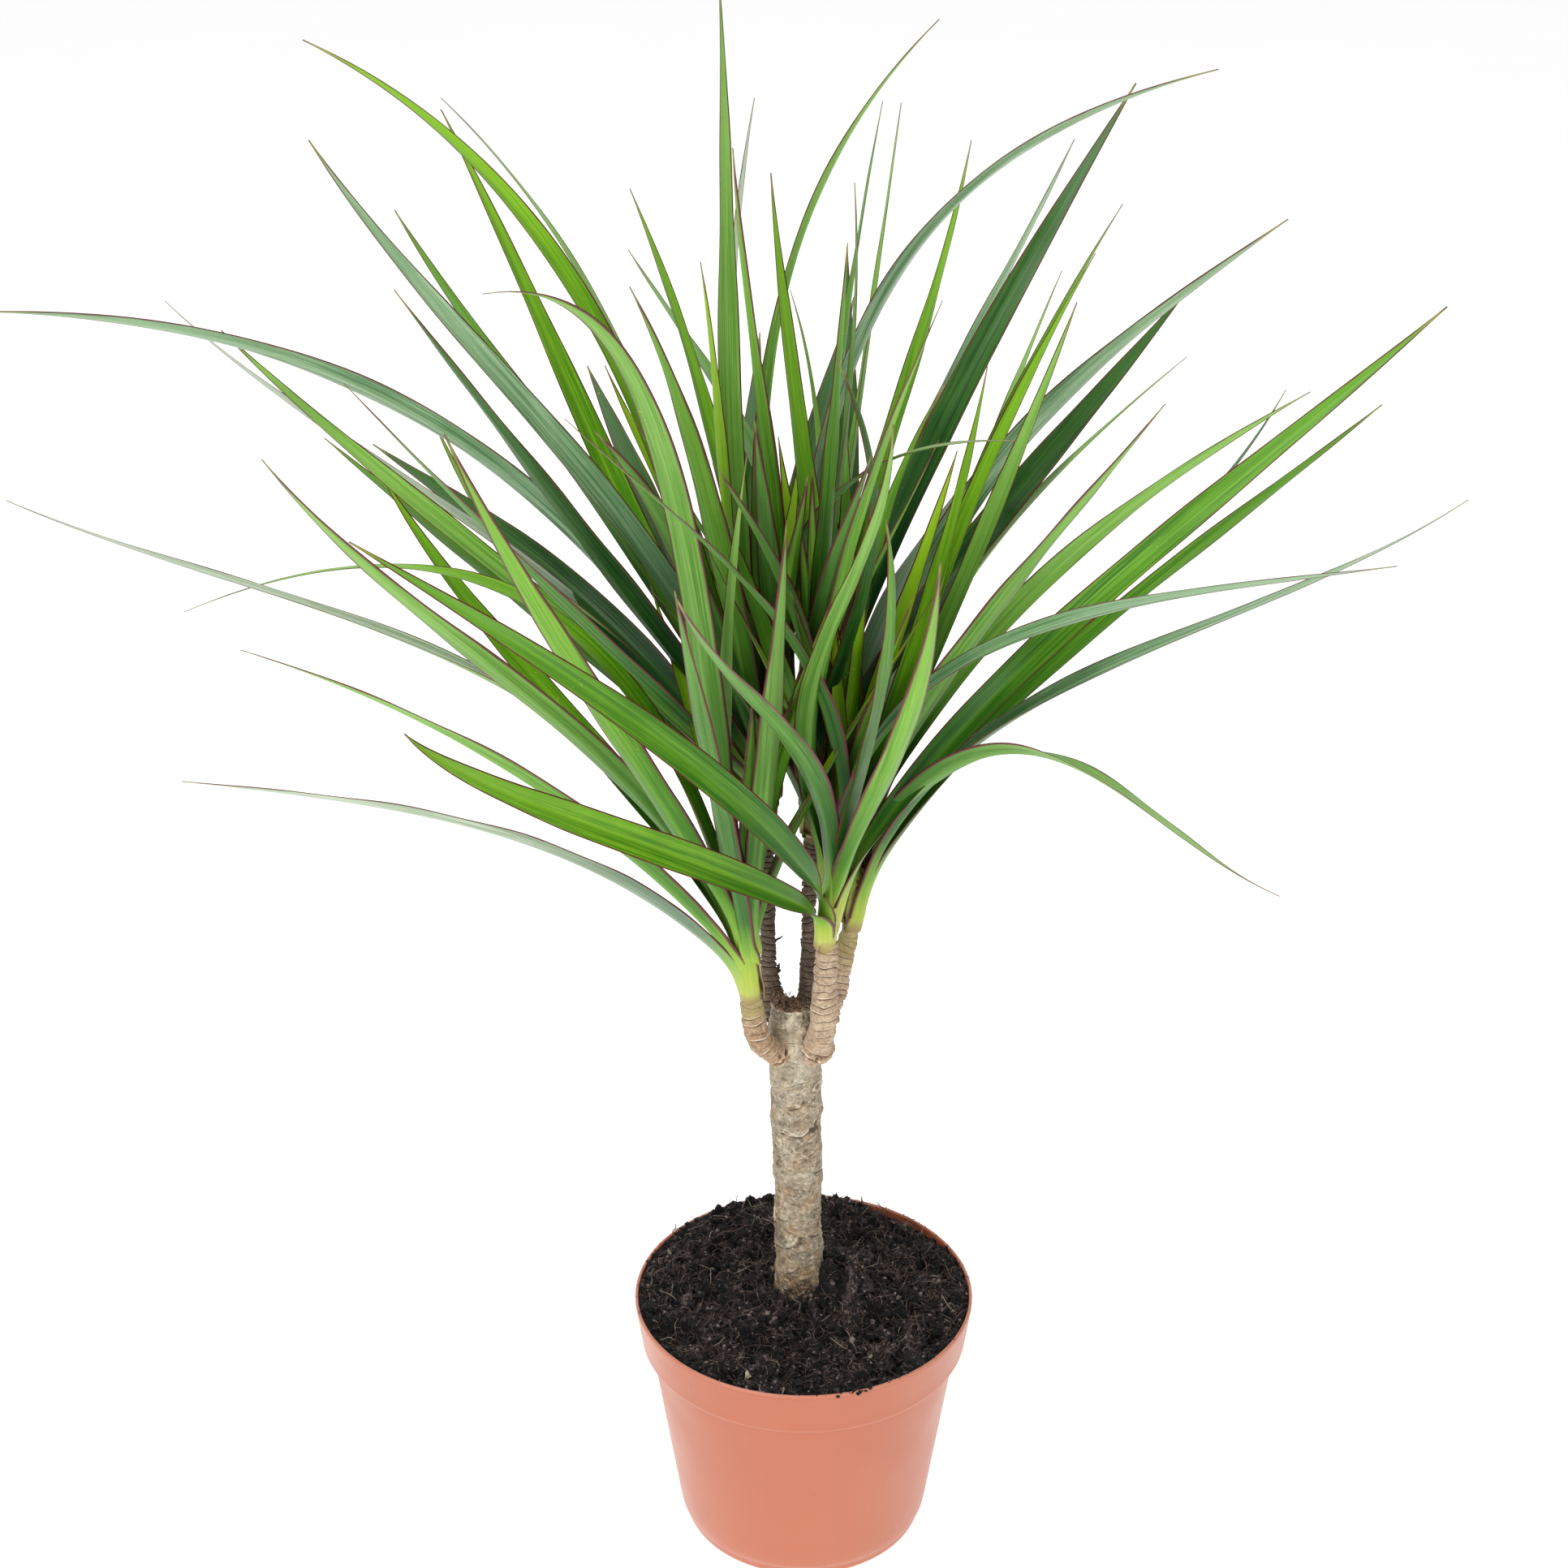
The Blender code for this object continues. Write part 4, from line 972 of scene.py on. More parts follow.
def make_flakes(rng):
    """Pale grains and dry chips, and one three-cornered piece of dead leaf at the front."""
    chips = Shell("tone")
    number = FLAKES
    x, y = scattered(rng, number, 20 * MM, 81 * MM)
    size = mostly_small(rng, number, 0.30, 0.8, 2.5)
    lumps(chips, on_soil(x, y, 0.9 * MM), size, rng.uniform(0.3, 0.7, number),
          rng.random(number), False, 13)
    place = on_soil(*np.reshape(DEAD_LEAF, (2, 1)), 1.5 * MM)[0]
    t, s = np.meshgrid(np.linspace(0, 1, 7), np.linspace(-1, 1, 5), indexing="ij")
    across = np.array([0.93, 0.2, 0.3]) * (s * (1 - t) * 1.9 * MM)[..., None]
    up = np.array([-0.25, 0.45, 0.85]) * (t * 4.6 * MM)[..., None]
    curl = np.array([0, -1.0, 0.4]) * ((0.9 * s ** 2 * (1 - t) - 0.8 * t ** 2) * MM)[..., None]
    face = place + across + up + curl
    back = face + np.array([0.05, 0.9, -0.4]) * 0.28 * MM
    loop = np.concatenate([face, back[:, ::-1]], axis=1)
    rows, columns = loop.shape[:2]
    around = np.arange(columns)
    chips.add(loop, [grid_faces(rows, columns),
                     np.stack([around[::-1], (rows - 1) * columns + around])], tone=0.5)
    return chips.build("dry_flakes", [flake_look()])


def make_soil_bits():
    rng = np.random.default_rng(SOIL_SEED)
    return make_crumbs(rng), make_fibres(rng), make_flakes(rng)


# Bark

# The step along each path and the points round it, and the rings on the cut
TRUNK_STEP, TRUNK_COLUMNS = 0.5 * MM, 220
STEM_STEP, STEM_COLUMNS = 0.25 * MM, 96
CORE_STEP, CORE_COLUMNS = 0.8 * MM, 40
CAP_STEPS = 26


def bark_tube(shell, line, radii, columns, relief, marks, zone=0, cap=None, sink=None):
    """Rings round a path: each point lies across the path at its radius plus a coarse and a fine
    relief, functions of the angle, the distance along and the place; the finish reads the fine
    one to paint shade into the cracks and a highlight onto the ridges. Marks gives the tinge,
    the warmth, and the soil colour with painted shade there. The far end may be capped by
    rings that shrink to a point, raised along the path by the cap's own function, and sink
    pushes the last rings back along the path."""
    forward, aside, over = ring_frames(line)
    angle = round_the(columns)
    out = (np.cos(angle)[None, :, None] * aside[:, None, :]
           + np.sin(angle)[None, :, None] * over[:, None, :])
    base = line[:, None, :] + out * radii[:, None, None]
    far = along_path(line)[:, None]
    coarse, fine = relief(angle[None, :], far, base)
    rows = base + out * (coarse + fine)[..., None]
    if sink:
        rows = rows - forward[:, None, :] * sink(angle[None, :], far[-1] - far)[..., None]
    # The fine relief as a value for painted shade in the hollows and a painted highlight on the
    # ridges
    relief_shading = 0.5 + 0.5 * np.clip(fine / (0.5 * MM), -1, 1)
    values = [np.broadcast_to(v, fine.shape) for v in (relief_shading, *marks(angle, far, base))]
    zones = np.full((len(line) - 1) * columns, zone)
    tip = line[-1]
    if cap:
        share = np.linspace(0, 1, CAP_STEPS + 1)[1:-1]
        shrunk = rows[-1][None] + (tip - rows[-1])[None] * share[:, None, None]
        rise = cap(share[:, None], angle[None, :], shrunk)
        shrunk = shrunk + forward[-1] * rise[..., None]
        rows = np.concatenate([rows, shrunk])
        values = [np.concatenate([value, np.zeros(rise.shape)]) for value in values]
        zones = np.concatenate([zones, np.ones(rise.size, int)])
        tip = tip + forward[-1] * float(np.mean(rise[-1]))
    relief, tinge, warm, soiled = (np.append(value.ravel(), (0.5, 0.5)) for value in values)
    shell.add(*closed_rings(rows, line[0], tip), [zones, zone, 1 if cap else zone],
              relief=relief, tinge=tinge, warm=warm, soiled=soiled)


def away_from(angle, height, level, turn, wide, tall):
    """How far a spot on the trunk is from a mark's middle, in half sizes of the mark."""
    off = (angle - math.radians(turn) + math.pi) % math.tau - math.pi
    off = off * TRUNK_MIDDLE_RADIUS / wide
    return np.sqrt(off ** 2 + ((height / MM - level) / tall) ** 2)


STUMP_DROP = 5 * MM             # how much lower the cut trunk's back is, for the looks
STUMP_TOP = TRUNK_POINTS[-1][2]     # mm
CRUMB_RADIUS = 10.4 * MM        # how far out the cut's crumbs lie
HEAP_TURN = -85                 # degrees, which puts the cut's heap at its left
# Eye-shaped scars of old shoots on the trunk, and rough warm patches: height in mm and bearing,
# then half the width and half the height, in mm
TRUNK_EYES = ((258, -27, 3.0, 1.4), (236, 150, 3.6, 1.6), (222, 60, 3.8, 1.7),
              (180, 170, 3.8, 1.8), (247, 110, 4.0, 1.8))
WARM_PATCHES = ((217, -92, 6.0, 4.5), (178, -103, 4.0, 7.0), (249, -80, 9.0, 3.5),
                (233, -60, 5.0, 3.0), (196, -45, 5.0, 3.0), (205, 80, 7.0, 5.0),
                (166, 20, 5.0, 6.0), (240, 190, 6.0, 4.0), (284, -120, 5.0, 4.0))


def trunk_relief(angle, far, spots):
    """Knobs apart; then slanting scar lines some 12 mm apart with finer broken lines between
    them, slanting fibres, pits, the eyes of old shoots, and splinters at the cut."""
    height = spots[..., 2]
    knobs = 0.85 * MM * layers_mm(spots, 9, 2, 61)
    slant = (far + 3.0 * MM * noise_mm(spots, 11, 67)
             + 4.6 * MM * np.sin(angle + 2.6 + far * 70))
    beat = slant / (11.6 * MM)
    part = beat % 1
    broken = ramp(0.40 + 1.8 * noise_mm(spots, 5.5, 71))
    scars = (0.40 * hump(part, 0.5, 0.030) - 0.40 * hump(part, 0.44, 0.045)
             + 0.14 * hump(part, 0.60, 0.09)) * broken * MM
    fine = slant / (4.1 * MM) + 0.8 * noise_mm(spots, 4, 72)
    fine = hump(fine % 1, 0.5, 0.09) * ramp(3 * noise_mm(spots, 5, 75))
    sheared = spots + np.array([0, 0, 0.45]) * spots[..., :1]
    threads = 0.20 * MM * layered(sheared / np.array([4.2, 4.2, 1.0]) / MM, 3, 73)
    grain = 0.17 * MM * layers_mm(spots, 1.3, 3, 77)
    pits = -0.45 * MM * ramp(3 * layers_mm(spots, 3.4, 2, 79) - 1.8)
    splinters = 0.9 * MM * hump(height / MM, STUMP_TOP, 1.1) * ramp(
        0.6 + 1.2 * noise_mm(spots, 1.6, 84))
    lift = scars + 0.32 * MM * fine + threads + grain + pits + splinters
    for level, turn, wide, tall in TRUNK_EYES:
        away = away_from(angle, height, level, turn, wide, tall)
        lift = lift + MM * (0.8 * hump(away, 1.2, 0.35) - 1.1 * hump(away, 0.1, 0.55))
    return knobs, lift


def trunk_marks(angle, far, spots):
    """Olive tinge up the trunk's top, warm fibrous bark at the foot and in patches, dark soil
    colour up the foot that reaches higher on its shaded side as painted shade, and darker
    patches on the lower half."""
    height = spots[..., 2]
    uneven = 0.006 * noise_mm(spots, 6, 81)
    olive = 0.40 * hump(height, 0.275, 0.02) + 0.15 * ramp(noise_mm(spots, 16, 82))
    warm = ramp((0.160 - height + uneven) / 0.012)
    warm = np.maximum(warm, 0.85 * ramp((0.265 - height) / 0.09)
                      * ramp(0.35 + 1.4 * noise_mm(spots, 8, 87)))
    for level, turn, wide, tall in WARM_PATCHES:
        away = away_from(angle, height, level, turn, wide, tall)
        warm = np.maximum(warm, hump(away + 0.5 * noise_mm(spots, 3, 83), 0, 0.8))
    # Painted shade: the dark soil colour reaches up to 10 mm higher on the foot's shaded side
    shaded = 0.010 * ramp(0.5 + 0.8 * np.cos(angle + 0.5))
    soiled = ramp((0.1385 + shaded - height + uneven) / 0.006)
    # Darker towards the bottom, in patches
    dull = ramp((0.215 - height) / 0.06) * ramp(0.3 + 1.8 * noise_mm(spots, 5, 88))
    return olive, warm, np.maximum(soiled, 0.34 * dull)


def round_share(angle, turn):
    """A share that swings once round the trunk: (1 + sin(angle + turn)) / 2."""
    return 0.5 + 0.5 * np.sin(angle + math.radians(turn))


def stump_sink(angle, left):
    """How far the cut's rim is broken down, most at the back, fading over the last 11 mm of
    height."""
    return STUMP_DROP * round_share(angle, 10) ** 2 * ramp(1 - left / (11 * MM))


def stump_top(share, angle, spots):
    """A crumbled cut: a splintered rim, a shallow bowl, and a heap at the left, rough in layers."""
    ring = polar(1, angle, 0.0 * share)
    chips = soft_noise(3.4 * ring, 85) + 0.8 * soft_noise(11 * ring, 86)
    rough = layers_mm(spots, 3.2, 4, 83)
    heap = 4.4 * ramp(share * 4) * hump(share, 0.25, 0.28) * round_share(angle, HEAP_TURN) ** 5
    return MM * (1.8 * chips * hump(share, 0.06, 0.09) - 1.2 * ramp(share * 9)
                 - 0.8 * ramp(share * 2) + heap + 1.6 * rough * ramp(share * 5))


def make_trunk(look):
    """The trunk, carried on down into the soil, with its crumbled cut."""
    points = (TRUNK_FOOT, *TRUNK_POINTS)
    radii = (TRUNK_FOOT_RADIUS, *TRUNK_RADII)
    line, place = smooth_line(np.array(points) * MM, TRUNK_STEP)
    sizes = np.interp(place, range(len(radii)), radii) * MM
    shell = Shell("relief", "tinge", "warm", "soiled")
    bark_tube(shell, line, sizes, TRUNK_COLUMNS, trunk_relief, trunk_marks, cap=stump_top,
              sink=stump_sink)
    return shell.build("cut_trunk", [look, crumbly_wood()])


def make_stump_crumbs():
    """Crumbs and fibres of rotten wood on the cut, heaped to the left."""
    rng = np.random.default_rng(CUT_SEED)
    number, threads = 360, 190
    radius = CRUMB_RADIUS * np.sqrt(rng.random(number))
    angle = rng.uniform(0, math.tau, number)
    x, y, level = np.array(TRUNK_POINTS[-1]) * MM
    heap = 4.8 * round_share(angle, HEAP_TURN) ** 5 * ramp(radius / (9 * MM))
    level = level + MM * (heap - 1.2 + rng.uniform(-1.6, 0.5, number))
    level -= stump_sink(angle, 0.0) * radius / CRUMB_RADIUS
    spots = polar(radius, angle, level) + np.array([x, y, 0])
    bits = Shell("tone")
    lumps(bits, spots, MM * rng.uniform(0.4, 1.5, number), rng.uniform(0.4, 1.0, number),
          rng.random(number), False, 15)
    turn = rng.uniform(0, math.tau, threads)
    heading = unit(polar(1, turn, rng.uniform(-0.2, 0.7, threads)))
    thin_tubes(bits, spots[:threads] + np.array([0, 0, 0.5 * MM]), heading,
               MM * rng.uniform(1.5, 5.5, threads), MM * rng.uniform(0.10, 0.30, threads), 0.9,
               rng.random(threads), 5, 3, 63)
    return bits.build("stump_crumbs", [crumbly_wood()], smooth=False)


def make_spurs(look):
    """Two dead twigs on the back left stem, dark and tapering, the lower one forked."""
    shell = Shell("relief", "tinge", "warm", "soiled")
    starts = MM * np.array([(-15.2, 13.6, 325.5), (-14.6, 11.4, 311.5), (-13.0, 11.2, 312.6)])
    heading = unit(np.array([(0.62, -0.1, 0.80), (1.0, -0.1, 0.45), (0.3, 0.0, 1.0)]))
    thin_tubes(shell, starts, heading, MM * np.array([6.6, 3.2, 3.6]),
               MM * np.array([0.55, 0.95, 0.8]), 0.35, 0.3, 9, 7, 65)
    return shell.build("stem_spurs", [look])


# How each stem looks: ring spacing, the collar's place along it and its swelling, how far down
# from its tip the olive of the young bark reaches, how brown it is, and how much wider its foot
# is. All but the brown are in mm.
STEM_LOOKS = {
    "front_left": (4.6, 9.5, 1.5, 12, 0.85, 0.0),
    "front_right": (3.9, 10.5, 1.7, 5, 0.05, 0.0),
    "right": (3.6, 13.0, 1.0, 26, 0.1, 0.0),
    "back_left": (3.3, 9.0, 0.8, 6, 0.0, 2.2),
    "back_right": (3.4, 9.0, 0.8, 6, 0.0, 0.6),
}


def make_stem(name, number, look):
    """A ringed stem: scar rings a few mm apart that tilt and waver, barrels between them, and a
    swollen cracked collar where it leaves the trunk. Each ring has its own strength, and the
    strongest carry a warm band above them."""
    points, radii = STEMS[name]
    pitch, collar, swell, young, brown, flare = STEM_LOOKS[name]
    line, place = smooth_line(np.array(points) * MM, STEM_STEP)
    sizes = np.interp(place, range(len(radii)), radii) * MM
    length = along_path(line)[-1]

    def ring_beat(angle, far, spots):
        tilt = 0.8 * MM * np.sin(angle + 1.7 * number + far * 80)
        waver = 1.1 * MM * noise_mm(spots, 4.5, 89 + number)
        beat = (far + tilt + waver) / (pitch * MM)
        cells = np.stack([np.floor(beat), 0 * beat, 0 * beat], -1)
        return beat, beat % 1, lattice(cells, 97 + number)

    def relief(angle, far, spots):
        beat, part, step = ring_beat(angle, far, spots)
        place = 0.3 + 0.4 * step
        rings = (0.55 * hump(part, place + 0.15, 0.09) - 0.80 * hump(part, place, 0.09)) * (
            0.50 + 0.8 * step)
        between = beat * 2.6 + noise_mm(spots, 3, 91)
        rings -= 0.18 * hump(between % 1, 0.5, 0.20) * ramp(2 * noise_mm(spots, 3, 93))
        barrels = 0.20 * np.cos(math.tau * (part - place + 0.5)) + 0.30 * (step - 0.5)
        knobs = 0.45 * layers_mm(spots, 6, 2, 101 + number)
        threads = 0.10 * layers_mm(spots, 1.1, 2, 103 + number)
        near = hump(far / MM, collar, 3.4)
        folds = 0.55 * near * np.sin(far / (0.55 * MM) + 3 * noise_mm(spots, 4, 105))
        cracks = -1.2 * near * ramp(4 * np.abs(layers_mm(spots, 2.6, 2, 107)) - 2.0)
        crust = near * (swell + 0.5 * layers_mm(spots, 2.0, 3, 109))
        crust = crust + flare * ramp(1.6 - far / (22 * MM))
        return MM * (barrels + knobs + crust), MM * (rings * (1 - 0.5 * near) + threads
                                                     + 0.7 * folds + cracks)

    def marks(angle, far, spots):
        near = hump(far / MM, collar, 3.6)
        olive = ramp((far - length + young * MM + 2 * MM * noise_mm(spots, 4, 111))
                     / (young * MM))
        _, part, step = ring_beat(angle, far, spots)
        patches = brown + 0.35 * ramp(noise_mm(spots, 6, 113))
        patches += 0.7 * ramp(3 * (part - 0.3 - 0.4 * step)) * ramp(2.4 * step - 0.9)
        return olive, np.maximum(0.9 * near, patches), 0.0 * far

    shell = Shell("relief", "tinge", "warm", "soiled")
    bark_tube(shell, line, sizes, STEM_COLUMNS, relief, marks)
    return shell.build(f"ringed_stem_{name}", [look])


# Leaves

def leaf_axes(leaf):
    """The leaf's way from root to tip, the way square to it that leans up, and the way to its
    side."""
    bearing, rise = math.radians(leaf[0]), math.radians(leaf[1])
    along = np.array([math.cos(bearing) * math.cos(rise), math.sin(bearing) * math.cos(rise),
                      math.sin(rise)])
    up = np.array([-math.cos(bearing) * math.sin(rise), -math.sin(bearing) * math.sin(rise),
                   math.cos(rise)])
    return along, up, np.cross(along, up)


def leaf_middle(root, leaf, t):
    """The blade's middle and its slope: the straight line from root to tip, left along the
    blade's own normal by bow * 4t(1-t) + flick * 10.4t(1-t)(1-2t) hundredths of the reach."""
    along, up, side = leaf_axes(leaf)
    reach, bow, flick, turn = leaf[2] * MM, leaf[3], leaf[4], math.radians(leaf[5])
    normal = up * math.cos(turn) + side * math.sin(turn)
    off = (bow * BOW_PEAK + flick * FLICK_PEAK * (1 - 2 * t)) * t * (1 - t) / 100
    slope = (bow * BOW_PEAK * (1 - 2 * t) + flick * FLICK_PEAK * (1 - 6 * t + 6 * t * t)) / 100
    middle = np.array(root) + reach * (t[:, None] * along + off[:, None] * normal)
    return middle, reach * (along + slope[:, None] * normal)


def plain_blade(root, leaf, width, extra=0.0):
    """The solids' own blade, for the clearance test: three-sided sections from root to tip."""
    t = np.array(STATIONS, float)
    middle, _ = leaf_middle(root, leaf, t)
    _, up, side = leaf_axes(leaf)
    forward = unit(np.gradient(middle, t, axis=0))
    angle = (math.radians(leaf[5]) * ramp(t / TURN_BY))[:, None]
    across = unit(np.cross(forward, up * np.cos(angle) + side * np.sin(angle)))
    down = np.cross(forward, across)
    half = width / 2 * knots(t, WIDTH_KNOTS) + extra / 2
    depth = leaf[2] * MM * LEAF_DEPTH_SHARE * knots(t, DEPTH_KNOTS) + extra / 2
    lift = down * (depth / KEEL_BALANCE)[:, None]
    rails = (middle - across * half[:, None] - lift, middle + across * half[:, None] - lift,
             middle + down * depth[:, None] - lift)
    spots = np.stack(rails, axis=1).reshape(-1, 3)
    faces = [(2, 1, 0)]
    last = 3 * (len(STATIONS) - 1)
    for k in range(0, last, 3):
        for a, b in ((0, 1), (1, 2), (2, 0)):
            faces.append((k + a, k + b, k + 3 + b))
            faces.append((k + a, k + 3 + b, k + 3 + a))
    faces.append((last, last + 1, last + 2))
    return BVHTree.FromPolygons([tuple(spot) for spot in spots], faces)


def solid_tree(node):
    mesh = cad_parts[node].data
    return BVHTree.FromPolygons([v.co.copy() for v in mesh.vertices],
                                [tuple(p.vertices) for p in mesh.polygons])


def settle(root, leaf, width, others):
    """The leaf moved aside by the fewest degrees that clear every other piece, or None."""
    span = range(-ASIDE_STEPS, ASIDE_STEPS + 1)
    steps = sorted(((a, b) for a in span for b in span), key=lambda s: (s[0] ** 2 + s[1] ** 2, s))
    for a, b in steps:
        trial = (leaf[0] + a, leaf[1] + b, *leaf[2:])
        tree = plain_blade(root, trial, width, FATTEN)
        if not any(tree.overlap(other) for other in others):
            return trial
    return None


def filling_leaf(i, first_bearing):
    """Bearings by the golden angle, with the rise and the reach by two other shares of a turn."""
    share = (i * FILL_RISE_STEP) % 1
    rise = FILL_RISE[0] + (FILL_RISE[1] - FILL_RISE[0]) * share
    reach = FILL_REACH[1] - (FILL_REACH[1] - FILL_REACH[0]) * ((i * FILL_REACH_STEP) % 1)
    bearing = (first_bearing + i * GOLDEN_ANGLE) % 360
    bow = FILL_BOW[0] + (FILL_BOW[1] - FILL_BOW[0]) * share
    return (bearing, rise, reach, bow, FILL_FLICK, FILL_TURN * math.sin(FILL_TURN_STEP * i))


def has_room(leaf, kept):
    """Whether a leaf of the back points well away from all the head's leaves so far."""
    if not FILL_SECTOR[0] < leaf[0] < FILL_SECTOR[1]:
        return False
    line = leaf_axes(leaf)[0]
    lines = np.array([leaf_axes(other)[0] for other in kept])
    return bool(np.all(np.degrees(np.arccos(np.clip(lines @ line, -1, 1))) > FILL_APART))


def head_line(name):
    """The core's foot and top, then the roots of its lowest and its highest leaf."""
    points, _ = STEMS[name]
    direction = unit(np.array(points[-1], float) - np.array(points[-2], float))
    foot = np.array(points[-1]) * MM + direction * GAP
    top = np.array(HEAD_TOPS[name]) * MM
    return foot, top, foot + direction * LEAF_FOOT, top - direction * CORE_TOP_RADIUS


def grown_heads():
    """Every head's leaves as (root, leaf, width, kind): the rows, the spear, the fillers and the
    inner leaves. One that finds no room is left out."""
    limbs = [solid_tree(n) for n in ("trunk", *(f"stem_{name}" for name in STEMS))]
    heads = {name: {"line": head_line(name)[2:], "trees": [], "leaves": []} for name in STEMS}

    def grow(name, leaf, share, width, kind):
        others = limbs + [t for other, held in heads.items() if other != name
                          for t in held["trees"]]
        low, high = heads[name]["line"]
        root = low + (high - low) * share
        settled = settle(root, leaf, width, others)
        if settled is None:
            return False
        heads[name]["trees"].append(plain_blade(root, settled, width))
        heads[name]["leaves"].append((root, settled, width, kind))
        return True

    for name, rows in LEAVES.items():
        for i, leaf in enumerate(rows):
            grow(name, leaf, i / len(rows), LEAF_WIDTH, "row")
    for number, name in enumerate(STEMS):
        grow(name, (FILL_NEXT * number, *SPEAR), 1, SPEAR_WIDTH, "spear")
        added = 0
        for i in range(FILL_TRIES):
            leaf = filling_leaf(i, FILL_FIRST + FILL_NEXT * number)
            if has_room(leaf, [kept[1] for kept in heads[name]["leaves"]]):
                added += grow(name, leaf, (leaf[1] - FILL_RISE[0]) / FILL_RISE_SPREAD,
                              LEAF_WIDTH, "filler")
            if added == FILL_MOST:
                break
    for name, leaves in INNER_LEAVES.items():
        for i, leaf in enumerate(leaves):
            grow(name, leaf, 0.2 + 0.6 * i / len(leaves), INNER_WIDTH, "inner")
    return heads


FINE = np.linspace(0, 1, 401)
WIDTH_SMOOTH = np.convolve(np.pad(knots(FINE, WIDTH_KNOTS), 14, mode="edge"),
                           np.hanning(31)[1:-1] / np.hanning(31)[1:-1].sum(), "valid")
# Along a leaf: half the arc of its section in radians, the fold at the midrib, and from the root
# up the thickness in mm
ARC_KNOTS = ((-0.06, 1.55), (-0.02, 1.45), (0.02, 1.15), (0.06, 0.85), (0.12, 0.55), (0.25, 0.30),
             (0.5, 0.18), (0.8, 0.12), (1, 0.10))
FOLD_KNOTS = ((-0.03, 0), (0.05, 0.12), (0.15, 0.28), (0.4, 0.20), (0.8, 0.10), (1, 0))
THICK_KNOTS = ((0.0, 1.0), (0.08, 1.1), (0.3, 0.75), (0.7, 0.5), (1, 0.25))
FOOT_THICK = 0.25               # mm, at the foot's edge
FOOT_PULL = 1.15                # how far the foot's curve runs along its ends' ways
FOOT_WIDTH = 1.08               # at the foot's edge, as a share of the leaf's full width
MAP_SIZE = 20 * MM              # one unit of a leaf's own map


def leaf_path(root, leaf, axis, hold, sheath):
    """Points up the middle of a leaf and the share of the reach at each: a cubic from the edge
    of the clasping foot, sheath below the root and hold away from the axis, which sets off up
    the stem and turns into the blade, and then the blade by the solids' rule."""
    along, _, side = leaf_axes(leaf)
    outward = along - axis * float(along @ axis)
    outward = unit(outward) if np.linalg.norm(outward) > 1e-3 else np.cross(axis, side)
    start = root + outward * hold - axis * sheath
    t = JOIN + (1 - JOIN) * np.linspace(0, 1, BLADE_ROWS) ** 1.05
    blade, slope = leaf_middle(root, leaf, t)
    end, end_way = blade[0], unit(slope[0])
    pull = np.linalg.norm(end - start) * FOOT_PULL
    u = np.linspace(0, 1, FOOT_ROWS, endpoint=False)[:, None]
    foot = ((2 * u ** 3 - 3 * u ** 2 + 1) * start + (u ** 3 - 2 * u ** 2 + u) * axis * pull
            + (3 * u ** 2 - 2 * u ** 3) * end + (u ** 3 - u ** 2) * end_way * pull)
    below = sheath / (leaf[2] * MM)
    return np.concatenate([foot, blade]), np.concatenate([-below + (JOIN + below) * u[:, 0], t])


